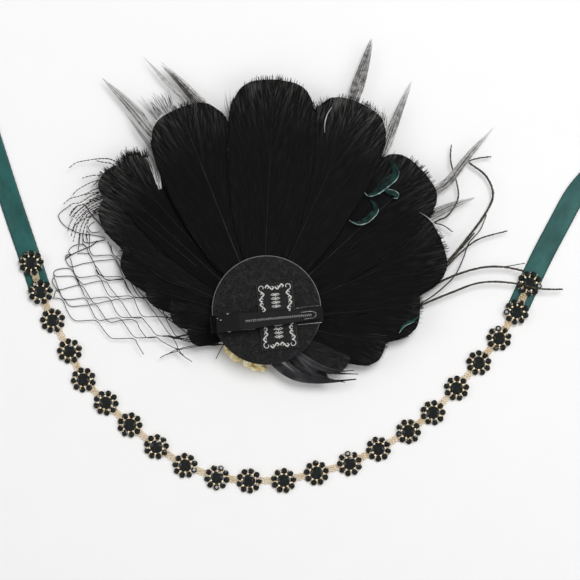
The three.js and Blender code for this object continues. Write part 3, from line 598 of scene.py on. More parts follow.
# angle, length, half width, sideways bend, height over the layer's lowest, in the upper layer or not
BLACK_FEATHERS = [
    (197, 0.315, 0.29, -0.11, 0.0, False),
    (168, 0.5, 0.4, -0.16, 0.0, False),
    (176, 0.385, 0.44, -0.12, 0.0, False),
    (158, 0.645, 0.61, -0.3, 0.12, False),
    (142, 0.835, 0.79, -0.136, 0.4, False),
    (137.3, 0.9, 0.5, 0, 0.6, False),
    (132.5, 0.88, 0.7, -0.045, 0.8, False),
    (111.5, 0.946, 0.95, 0, 0.0, True),
    (87, 1, 1, 0, 0.4, True),
    (65.3, 0.99, 0.94, 0, 0.0, True),
    (42.5, 0.915, 0.94, 0, 0.8, False),
    (21.5, 0.82, 0.92, 0.136, 0.4, False),
    (2.5, 0.665, 0.77, 0.182, 0.12, False),
    (-13, 0.53, 0.58, 0.05, 0.0, False),
    (-36, 0.405, 0.34, 0.25, 0.06, False),
    (-58, 0.36, 0.16, 0.5, 0.12, False),
]
# the feather whose vane is split on its right, the two with a paler quill, and where the split one's barbs are
# gone: the share of its length and how much
SPLIT_FEATHER = 132.5
PALE_QUILLED = (111.5, 42.5)
SPLIT_VANE = ((0.0, 0.0), (0.74, 0.0), (0.8, 0.44), (0.88, 0.26), (0.96, 0.18), (1.01, 0.0))
# matted grey strands that trail from under the felt: half width and route
TRAILING_STEPS = 40
TRAILING = [
    (1.1, [(-14.0, -42.1), (-9.5, -46.6), (-4.0, -51.4), (3.0, -55.0), (12.0, -56.5), (21.5, -56.5),
     (33.0, -55.5)]),
    (0.7, [(-11.0, -41.1), (-6.5, -46.6), (-1.5, -50.6), (5.0, -54.1), (12.0, -55.6), (20.0, -55.6)]),
    (0.55, [(-6.0, -40.1), (-2.0, -46.1), (3.5, -51.6), (10.0, -54.6), (17.0, -55.6)]),
    (0.55, [(-3.0, -40.1), (6.0, -45.3), (12.0, -49.1), (20.5, -52.1), (34.0, -53.0)]),
    (0.5, [(0.0, -39.1), (8.0, -44.6), (16.0, -49.1), (24.0, -51.4), (32.0, -51.1)]),
    (0.5, [(3.0, -42.1), (5.5, -46.6), (11.0, -52.1), (18.0, -55.1), (27.5, -57.1)]),
]
# how far a feather's barbs lean out from its quill near the tip, and how strongly they fray
BARB_SLOPE = 0.22
FRAY = {65.3: 0.8, 142: 0.6, 137.3: 0.6, 132.5: 0.7, 42.5: 0.4, 111.5: 0.5, 87: 0.5}
# the worn grey feathers, and how grey they are
WORN = {-58: 0.9, -36: 0.45}
# quills and turned-over barb tips drawn pale as painted highlights, and dim ones: radius, height and route
QUILL_STEPS = 24
BRIGHT_QUILLS = [
    (0.34, 12.6, [(20.8, 79.6), (18.5, 75.9), (17.3, 71.4), (17.2, 66.9)]),
    (0.24, 10.4, [(64.5, 27.4), (68.5, 24.9), (72.4, 20.9), (75.6, 16.4), (76.5, 14.4)]),
]
DIM_QUILLS = [
    (0.2, 12.2, [(25.0, 4.4), (31.0, 10.4), (40.5, 19.4)]),
    (0.25, 9.6, [(-51.0, -29.1), (-46.0, -30.1), (-41.5, -30.6)]),
    (0.22, 9.9, [(-46.5, -11.1), (-60.0, -7.1), (-71.0, -0.1)]),
]
# tufts of loose barbs: the line that they grow from, the line that their tips reach, how many, how thick, how
# high, and whether they are bright
TUFTS = [
    ([(-64.7, 36.4), (-63.5, 37.4)], [(-72.0, 58.4), (-67.5, 55.9)], 14, 0.09, 9.0, True),
    ([(-66.5, 73.4), (-58.0, 80.4)], [(-76.5, 83.4), (-60.0, 89.4)], 34, 0.11, 6.6, False),
    ([(-42.5, 72.9), (-31.5, 64.9)], [(-47.0, 84.4), (-33.5, 75.9)], 34, 0.11, 10.6, False),
    ([(-52.0, 79.9), (-42.0, 77.9)], [(-57.0, 86.9), (-43.5, 84.9)], 14, 0.1, 10.4, False),
    ([(-30.5, 74.4), (-29.5, 75.4)], [(-32.5, 83.4), (-30.2, 89.9)], 4, 0.1, 10.4, False),
    ([(-81.5, 53.4), (-72.5, 52.9)], [(-82.5, 57.9), (-76.0, 60.1)], 80, 0.15, 8.3, False),
    ([(-85.0, 50.9), (-70.0, 54.9)], [(-88.5, 55.9), (-71.5, 59.9)], 90, 0.13, 8.3, False),
    ([(13.0, 77.9), (22.0, 82.4)], [(11.5, 82.9), (21.0, 85.4)], 60, 0.08, 10.6, False),
    ([(38.0, 79.9), (48.0, 69.9)], [(38.0, 82.9), (47.5, 76.9)], 60, 0.08, 10.6, False),
]


def droop(x, y):
    return DROOP * ((x - HUB.x) ** 2 + (y - HUB.y) ** 2) / DROOP_REACH**2


def lay(points, z):
    """Puts a route's points at a height, lowered by the droop at each."""
    for p in points:
        p.z = (z - droop(p.x / MM, p.y / MM)) * MM


def outward(angle, out, across, z):
    """A point out along a direction from the hub and across it, in millimetres, lowered by the droop there."""
    x = HUB.x + out * math.cos(angle) - across * math.sin(angle)
    y = HUB.y + out * math.sin(angle) + across * math.cos(angle)
    return Vector((x, y, z - droop(x, y)))


def tubes(name, lines, sides=4):
    """Thin tubes along lines as one mesh. A line is its points in metres and a radius at each, in millimetres."""
    data = bpy.data.curves.new(name, "CURVE")
    data.dimensions = "3D"
    data.bevel_depth = MM
    data.bevel_resolution = (sides - 4) // 2
    data.use_fill_caps = True
    for points, radii in lines:
        spline = data.splines.new("POLY")
        spline.points.add(len(points) - 1)
        spline.points.foreach_set("co", [c for p in points for c in (*p, 1.0)])
        spline.points.foreach_set("radius", radii)
    drawn = bpy.data.objects.new(name, data)
    bpy.context.scene.collection.objects.link(drawn)
    bpy.context.view_layer.update()
    mesh = bpy.data.meshes.new_from_object(drawn.evaluated_get(bpy.context.evaluated_depsgraph_get()))
    bpy.data.objects.remove(drawn)
    bpy.data.curves.remove(data)
    mesh.materials.clear()
    mesh.name = name
    mesh.shade_smooth()
    return mesh


def feather_finish():
    vane = Finish("black_vane", Specular_IOR_Level=0.06)
    barb = vane.stored("barb")
    tip = vane.part(barb, 2)
    shade = vane.stored("shade", "Fac")
    fine = vane.grain(vane.scaled(barb, (2.4, 0.12, 0)), 1.0, 3, 0.65)
    broad = vane.grain(vane.scaled(barb, (0.5, 0.05, 0)), 1.0, 2)
    streak = (fine * 0.7 + broad * 0.5).above(0.5, 0.9)
    body = vane.blend(streak, tint(5, 5, 5), tint(13, 13, 13))
    body = vane.blend(shade, body, vane.blend(fine.above(0.35, 0.65), tint(16, 16, 17), tint(58, 58, 60)))
    frayed = tip * (fine * 0.85 + broad * 0.35).above(0.56, 0.76)
    vane.finish(
        Base_Color=vane.blend(frayed, body, tint(104, 103, 101)),
        Roughness=0.66 - streak * 0.1,
        Normal=vane.relief(fine + broad, 0.1, 0.6),
    )
    return vane


def between(rows, share):
    """The value at a share of the way along a table of shares and values."""
    for (a, low), (b, high) in zip(rows, rows[1:]):
        if share <= b:
            return low + (high - low) * (share - a) / (b - a)
    return rows[-1][1]


def black_feathers():
    random.seed(11)
    vanes = bmesh.new()
    barb_of = vanes.verts.layers.float_vector.new("barb")
    shade_of = vanes.verts.layers.float.new("shade")
    fringe, pale, dark = [], [], []
    rows, columns = 64, 32
    outline = smooth_route([(100 * a, 100 * h) for a, h in VANE], rows + 1)
    outline = [(p.x / MM / 100, p.y / MM / 100) for p in outline]
    for angle_deg, length, half, bend, rank, upper in BLACK_FEATHERS:
        angle = math.radians(angle_deg)
        span = length * LONGEST
        wide = half * WIDEST
        base = (UPPER_Z if upper else LOWER_Z) + rank
        shade = random.random()
        seed = random.uniform(0, 90)
        fray = FRAY.get(angle_deg, 0.2)

        def spot(share, side, width, lift=0.0):
            """A place on the vane: share of its length, side -1 to 1 across a half width share."""
            out = ROOT + share * (span - ROOT)
            gone = between(SPLIT_VANE, share) if angle_deg == SPLIT_FEATHER and side < 0 else 0
            across = side * width * wide * (1 - gone)
            sag = DOME * width * abs(side)
            return outward(angle, out, bend * WIDEST * share**2 + across, base - sag + lift)

        for v in bmesh.ops.create_grid(vanes, x_segments=columns, y_segments=rows, size=1.0)["verts"]:
            row = round((v.co.y + 1) / 2 * rows)
            side = v.co.x
            share, width = outline[row]
            ragged = 1 + 0.03 * abs(side) ** 4 * noise.noise(Vector((share * 40, side * 2, seed)))
            out_mm, across_mm = share * span, side * width * wide
            near_tip = min(max((share - 0.74) / 0.22, 0), 1) ** 2 * (0.45 + 0.55 * abs(side))
            v[barb_of] = (abs(across_mm) - BARB_SLOPE * out_mm, out_mm + 40 * (side > 0), near_tip * fray)
            v[shade_of] = WORN.get(angle_deg, 0.12 * shade)
            wave = 0.08 * noise.noise(Vector((out_mm * 0.05, abs(across_mm) * 0.3 - out_mm * 0.1, seed + side)))
            v.co = spot(share * 0.984, side * ragged, width, wave) * MM
        rim = smooth_route([(a * span, h * wide) for a, h in VANE], int(1.15 * span / 0.25))
        for side in (-1, 1):
            for p in rim:
                share, width = p.x / MM / span, p.y / MM / wide
                if share < 0.3 or (angle_deg == SPLIT_FEATHER and side < 0 and share < 0.86):
                    continue
                near = min(max((share - 0.6) / 0.4, 0), 1)
                clump = 0.5 + 0.5 * noise.noise(Vector((share * 60, side * 3, seed)))
                reach = 0.15 + 1.5 * near * random.random() ** 2.5 * (0.4 + clump)
                lean = math.radians(30 - 20 * near + random.gauss(0, 5))
                inside = 2.0 + 2.5 * near
                inward = 1 if share < 0.9 else random.uniform(0.2, 1.0)
                points = []
                for t in (0.0, 0.5, 1.0):
                    ahead = -inside + (inside + reach) * t
                    out = ROOT + share * (span - ROOT) + ahead * math.cos(lean)
                    across = side * (width * wide * inward + ahead * math.sin(lean) * inward)
                    lift = base - DOME * width * inward + 0.1 * (1 - t)
                    points.append(outward(angle, out, bend * WIDEST * share**2 + across, lift) * MM)
                fringe.append((points, [0.13, 0.12, 0.04]))
        steps = 24
        line = [spot(0.04 + 0.86 * i / steps, 0, 0.0, 0.22) * MM for i in range(steps + 1)]
        quills = pale if angle_deg in PALE_QUILLED else dark
        quills.append((line, [0.34 - 0.26 * i / steps for i in range(steps + 1)]))
    bmesh.ops.solidify(vanes, geom=vanes.faces, thickness=0.18 * MM)
    vanes = mesh_of(vanes, "black_vanes", merge=0)
    piece("black_vanes", vanes, "black_feather", feather_finish(), replaces=("feather_fan",))
    bright = []
    for roots, tips, count, thick, z, is_bright in TUFTS:
        for root, tip in zip(smooth_route(roots, count), smooth_route(tips, count)):
            stray = Vector((random.gauss(0, 0.9), random.gauss(0, 0.9), 0))
            tip = tip + stray * MM + (root - tip) * random.random() ** 2 * 0.5
            root = root.lerp(tip, 0.35 * random.random() ** 2)
            low = Vector((0, 0, z - droop(root.x / MM, root.y / MM))) * MM
            bow = root.lerp(tip, 0.55) + Vector((random.gauss(0, 0.3), random.gauss(0, 0.3), 0)) * MM
            lines = bright if is_bright else fringe
            lines.append(([root + low, bow + low, tip + low], [thick, thick * 0.9, 0.03]))
    trailing = []
    last = TRAILING_STEPS - 1
    for half, route in TRAILING:
        points = smooth_route(route, TRAILING_STEPS)
        for lane in (-1, -0.6, -0.2, 0.2, 0.6, 1):
            line = []
            for k, p in enumerate(points):
                ahead = (points[min(k + 1, last)] - points[max(k - 1, 0)]).normalized()
                off = lane * half * (0.25 + 0.75 * math.sin(math.pi * min(k / last + 0.12, 1)))
                low = 8.3 - droop(p.x / MM, p.y / MM) + 0.1 * lane
                line.append(Vector((p.x - ahead.y * off * MM, p.y + ahead.x * off * MM, low * MM)))
            trailing.append((line, [0.26] * 30 + [0.26 - 0.024 * i for i in range(10)]))
    soft = mottled("barb", (9, 9, 9), (52, 49, 44), 0.7, 2, (0.45, 0.8), (0.6, 0.1), Specular_IOR_Level=0.1)
    piece("black_barbs", tubes("black_barbs", fringe), "black_feather", soft)
    last = QUILL_STEPS - 1
    for arcs, lines in ((BRIGHT_QUILLS, bright), (DIM_QUILLS, dark)):
        for thick, z, route in arcs:
            line = smooth_route(route, QUILL_STEPS)
            lay(line, z)
            lines.append((line, [thick * (0.3 + 0.7 * math.sin(math.pi * i / last)) for i in range(QUILL_STEPS)]))
    for name, lines, low, high in (
        # bright_quills: the bright tuft of pale down, and the quill arcs drawn pale as a painted highlight
        ("bright_quills", bright, (140, 140, 140), (216, 216, 214)),
        ("pale_quills", pale, (22, 22, 22), (48, 48, 48)),
        ("dark_quills", dark, (4, 4, 4), (15, 15, 15)),
        ("trailing_strands", trailing, (22, 22, 24), (66, 66, 70)),
    ):
        horn = mottled(name, low, high, 0.08, 2, (0.4, 0.65), (0.35, 0.2), Specular_IOR_Level=0.2)
        piece(name, tubes(name, lines, 6), "black_feather", horn)


black_feathers()


# Hackles: narrow see-through feathers from the face, whose soft pointed tips stand out beyond the black ones.
# Each is a hair-thin quill with long fine barbs lying close along it.
HACKLE_Z = 6.95
HACKLE_STEPS = 80
# each one's half width, where its vane starts, its dark and its faint barbs, whether the faint ones are pale, and
# its route from under the fan
HACKLES = [
    (3.1, 0.3, 15, 26, True, [(-69.0, 67.9), (-81.0, 81.9), (-93.5, 94.4)]),
    (1.4, 0.3, 6, 4, True, [(-68.0, 57.9), (-75.0, 67.4), (-82.0, 76.9)]),
    (1.9, 0.25, 26, 7, False, [(-45.5, 80.9), (-55.0, 91.9), (-64.0, 100.9)]),
    (1.7, 0.4, 5, 14, True, [(-42.0, 80.9), (-53.0, 91.9), (-64.0, 102.4)]),
    (1.6, 0.45, 3, 13, True, [(-51.0, 80.9), (-62.0, 92.9), (-73.0, 104.9)]),
    (3.1, 0.45, 9, 94, False, [(32.0, 84.9), (36.5, 98.9), (40.8, 114.4)]),
    (2.6, 0.4, 13, 30, True, [(47.5, 58.9), (54.0, 76.9), (60.5, 92.9)]),
    (2.5, 0.3, 10, 28, True, [(70.0, 36.9), (78.0, 41.9), (89.0, 55.9), (101.5, 69.9)]),
    (3.0, 0.25, 12, 17, True, [(70.0, 25.9), (81.0, 30.9), (92.0, 34.9)]),
]


def hackles():
    random.seed(17)
    dark, faint, pale = [], [], []
    last = HACKLE_STEPS - 1
    for half, vane_start, dark_barbs, faint_barbs, is_pale, route in HACKLES:
        first, second = (Vector((*p, 0)) for p in route[:2])
        under = first + (first - second).normalized() * 14
        points = smooth_route([(under.x, under.y), *route], HACKLE_STEPS)
        lay(points, HACKLE_Z)
        dark.append((points, [0.17 - 0.12 * i / last for i in range(HACKLE_STEPS)]))
        for lines, count, thick in ((dark, dark_barbs, 0.1), (pale if is_pale else faint, faint_barbs, 0.06)):
            for i in range(count):
                lane = -1 + 2 * (i + 0.5) / count + random.gauss(0, 0.08)
                start_at = random.uniform(0.0, vane_start)
                end_at = random.uniform(0.8, 1.0)
                path = []
                for step in range(8):
                    at = start_at + (end_at - start_at) * step / 7
                    k = min(int(at * last), last - 1)
                    ahead = (points[k + 1] - points[k]).normalized()
                    across = Vector((-ahead.y, ahead.x, 0))
                    leave = min((at - start_at) / 0.2, 1)
                    taper = min((1.02 - at) / (1.0 - vane_start), 1.0) ** 0.62
                    off = lane * half * taper * (0.35 + 0.65 * leave)
                    beside = (across * off + Vector((0, 0, 0.25 * lane))) * MM
                    path.append(points[k].lerp(points[k + 1], at * last - k) + beside)
                lines.append((path, [thick] * 5 + [thick * 0.8, thick * 0.5, 0.02]))
    for name, lines, low, high, stands_for in (
        ("smoke_hackles", dark, (20, 20, 20), (74, 72, 71), ("hackle_spray",)),
        ("smoke_down", faint, (96, 94, 93), (170, 168, 166), ()),
        ("pale_down", pale, (150, 147, 145), (218, 215, 212), ()),
    ):
        soft = mottled(name, low, high, 0.45, 3, (0.35, 0.65), (0.5, 0.2), Specular_IOR_Level=0.2)
        piece(name, tubes(name, lines), "smoke_feather", soft, replaces=stands_for)


hackles()


# Barred hackles: thin striped strands that fall out of the fan on the left, each a pale thread with dark bars
# threaded along it.
BARRED_STEPS = 120
BARRED = [
    [(-110.2, 49.6), (-106.7, 52.2), (-101.5, 53.4), (-94.6, 54.3), (-89.4, 54.0), (-84.2, 51.4)],
    [(-96.9, 53.4), (-92.9, 52.5), (-89.4, 52.0), (-85.4, 49.6)],
    [(-103.8, 44.5), (-100.4, 45.5), (-96.9, 46.1), (-94.6, 45.9), (-88.8, 43.9)],
    [(-109.0, 35.2), (-106.7, 38.1), (-103.2, 40.4), (-99.2, 42.4), (-94.0, 43.8), (-88.8, 43.9)],
    [(-99.2, 39.8), (-96.9, 42.1), (-94.6, 43.8), (-90.0, 44.5)],
    [(-112.8, 31.8), (-109.6, 34.4), (-105.6, 35.5), (-100.9, 37.2), (-98.1, 38.7), (-93.7, 39.8),
     (-88.8, 39.8)],
    [(-111.0, 30.0), (-108.4, 31.8), (-105.0, 32.3), (-102.7, 33.5), (-99.2, 35.8), (-94.0, 37.5),
     (-88.8, 38.1)],
    [(-110.2, 24.8), (-108.7, 28.3), (-106.1, 30.6), (-103.2, 31.5), (-100.4, 32.3)],
    [(-109.6, 24.3), (-107.6, 26.6), (-105.0, 28.9), (-102.1, 31.2), (-99.2, 33.5), (-94.6, 35.2),
     (-90.0, 35.8)],
    [(-107.0, 24.3), (-105.0, 26.6), (-101.5, 30.0), (-98.1, 32.3), (-93.7, 34.4), (-90.0, 35.2)],
    [(-111.0, 16.8), (-109.9, 21.4), (-108.4, 24.3), (-106.1, 27.7), (-102.7, 30.6), (-99.8, 32.3),
     (-94.0, 35.8)],
    [(-109.0, 15.6), (-108.1, 19.6), (-106.1, 23.7), (-103.2, 26.6), (-100.9, 28.9), (-96.9, 31.2),
     (-93.7, 32.6), (-90.0, 33.5)],
    [(-108.1, 12.7), (-107.0, 17.3), (-106.1, 20.8), (-103.8, 24.8), (-101.5, 27.4), (-96.9, 30.0),
     (-91.1, 31.8)],
    [(-105.3, 11.6), (-105.0, 16.2), (-104.1, 20.2), (-102.1, 24.3), (-100.9, 26.6), (-96.9, 28.9),
     (-91.1, 31.2)],
    [(-103.2, 11.6), (-103.2, 16.2), (-102.1, 20.8), (-100.4, 24.3), (-97.5, 27.1), (-92.3, 30.0)],
    [(-100.9, 12.7), (-101.2, 16.8), (-100.9, 21.4), (-99.8, 24.8), (-95.7, 27.7), (-91.1, 29.5)],
    [(-98.6, 26.6), (-96.9, 28.9), (-93.7, 30.6), (-90.0, 31.8)],
    [(-102.7, 35.8), (-99.8, 37.0), (-96.3, 37.5), (-92.9, 38.7)],
    [(-101.5, 33.5), (-98.6, 34.1), (-95.7, 35.8), (-92.3, 37.0)],
    [(-103.2, 30.6), (-99.8, 32.9), (-96.9, 33.5), (-92.9, 35.2)],
]


def barred_hackles():
    random.seed(31)
    strands, bars = [], []
    for n, row in enumerate(BARRED):
        points = smooth_route(row[::-1], BARRED_STEPS)
        lay(points, HACKLE_Z - 0.2 - 0.1 * (n % 3))
        thread = points[::4] + points[-1:]
        strands.append((thread, [0.1] * len(thread)))
        run = length_of(points)
        step = (BARRED_STEPS - 1) / run
        at = random.uniform(0, 1)
        while at < run - 1.0:
            long = random.uniform(0.9, 1.7)
            last = min(int((at + long) * step) + 1, BARRED_STEPS - 1)
            bar = points[int(at * step):last + 1]
            thick = 0.31 - 0.1 * at / run
            bars.append((bar, [thick * 0.5] + [thick] * (len(bar) - 2) + [thick * 0.5]))
            at += long + random.uniform(0.4, 0.8)
    for name, lines, low, high, stands_for in (
        ("barred_strands", strands, (150, 144, 140), (226, 220, 216), ("barred_hackle",)),
        ("barred_bars", bars, (20, 18, 18), (66, 46, 42), ()),
    ):
        soft = mottled(name, low, high, 0.3, 2, (0.4, 0.65), (0.6, 0.1), Specular_IOR_Level=0.2)
        piece(name, tubes(name, lines), "barred_feather", soft, replaces=stands_for)


barred_hackles()


# Herls: long bronze strands with a dense short fuzz, which leave the fan on the right. The ones that cross the
# band lie over it.
HERL_STEPS = 90
HERL_Z = 5.75
OVER_BAND_Z = 4.95
# the fuzz: how close its hairs stand, how far they lean from the strand, and their radius
FUZZ_EVERY = 0.16
FUZZ_LEAN = math.radians(34)
FUZZ_THICK = 0.15
# each one's radius, whether it crosses the band, and its route
HERLS = [
    (0.76, False, [(20.0, -31.1), (70.5, -5.1), (79.5, 3.9), (87.0, 12.9), (98.0, 27.9), (101.3, 36.4),
     (98.0, 45.4), (89.3, 52.4)]),
    (0.51, False, [(20.0, -16.1), (73.5, 23.4), (78.0, 25.4), (82.5, 31.4), (84.0, 35.9), (83.0, 42.9),
     (80.5, 51.4), (80.0, 55.4), (80.5, 61.4)]),
    (0.51, False, [(20.0, 3.9), (73.5, 37.9), (82.5, 45.9), (89.0, 52.9), (94.0, 54.6), (100.5, 55.4)]),
    (0.39, False, [(55.0, 22.9), (75.5, 21.4), (81.0, 17.9)]),
    (0.54, False, [(20.0, -33.1), (70.5, -6.1), (84.5, 6.9), (93.5, 13.9), (108.5, 18.4)]),
    (0.61, False, [(20.0, -32.1), (69.0, -7.1), (79.0, 2.9), (86.0, 10.4), (92.0, 17.4)]),
    (0.73, True, [(20.0, -33.6), (70.5, -9.1), (83.3, -3.4), (96.0, 0.1), (106.0, 0.4), (116.5, -1.6)]),
    (0.32, True, [(83.3, -3.4), (96.0, 0.1), (106.0, 0.4), (117.0, 2.2)]),
    (0.63, True, [(20.0, -38.6), (67.3, -17.8), (80.5, -12.4), (92.0, -8.1), (100.5, -7.0), (112.5, -7.9),
     (124.5, -10.5), (136.0, -10.8)]),
    (0.39, False, [(35.0, -31.1), (67.3, -16.6), (75.5, -10.6), (82.0, -4.1), (86.5, 4.9), (89.0, 11.9),
     (94.8, 18.9), (98.0, 26.4)]),
]


def fuzzy_strand(lines, points, radii, reach, seed):
    """One strand and the short hairs that stand off it on both sides."""
    rand = random.Random(seed)
    lines.append((points, radii))
    last = len(points) - 1
    for i in range(int(length_of(points) / FUZZ_EVERY)):
        share = rand.uniform(0.02, 0.99)
        k = min(int(share * last), last - 1)
        root = points[k].lerp(points[k + 1], share * last - k)
        ahead = (points[k + 1] - points[k]).normalized()
        side = Vector((-ahead.y, ahead.x, 0)) * rand.choice((-1, 1))
        far = reach * rand.uniform(0.5, 1.1)
        out = (ahead * math.cos(FUZZ_LEAN) + side * math.sin(FUZZ_LEAN)) * far * MM
        tip = root + out + Vector((0, 0, rand.gauss(0, 0.12) * MM))
        bow = root.lerp(tip, 0.5) + ahead * 0.1 * far * MM
        lines.append(([root, bow, tip], [FUZZ_THICK, FUZZ_THICK * 0.85, 0.02]))


def herls():
    lines = []
    last = HERL_STEPS - 1
    for n, (thick, over, route) in enumerate(HERLS):
        points = smooth_route(route, HERL_STEPS)
        for p in points:
            low = HERL_Z - droop(p.x / MM, p.y / MM)
            p.z = (max(low, OVER_BAND_Z) if over else low) * MM
        radii = [thick * (1.15 - 0.6 * i / last) * random.uniform(0.85, 1.15) for i in range(HERL_STEPS)]
        fuzzy_strand(lines, points, radii, 1.7 * thick, 40 + n)
    bronze = Finish("bronze_herl", Specular_IOR_Level=0.35)
    spot = bronze.place()
    tone = bronze.grain(spot, 0.5, 3)
    fleck = bronze.grain(spot, 2.6, 2)
    body = bronze.blend(tone.above(0.38, 0.62), tint(15, 13, 12), tint(54, 47, 37))
    body = bronze.blend(fleck.above(0.6, 0.7), body, tint(158, 144, 110))
    bronze.finish(Base_Color=body, Roughness=0.45 + tone * 0.2)
    piece("bronze_herls", tubes("bronze_herls", lines), "bronze_herl", bronze, replaces=("herl_spray",))


herls()


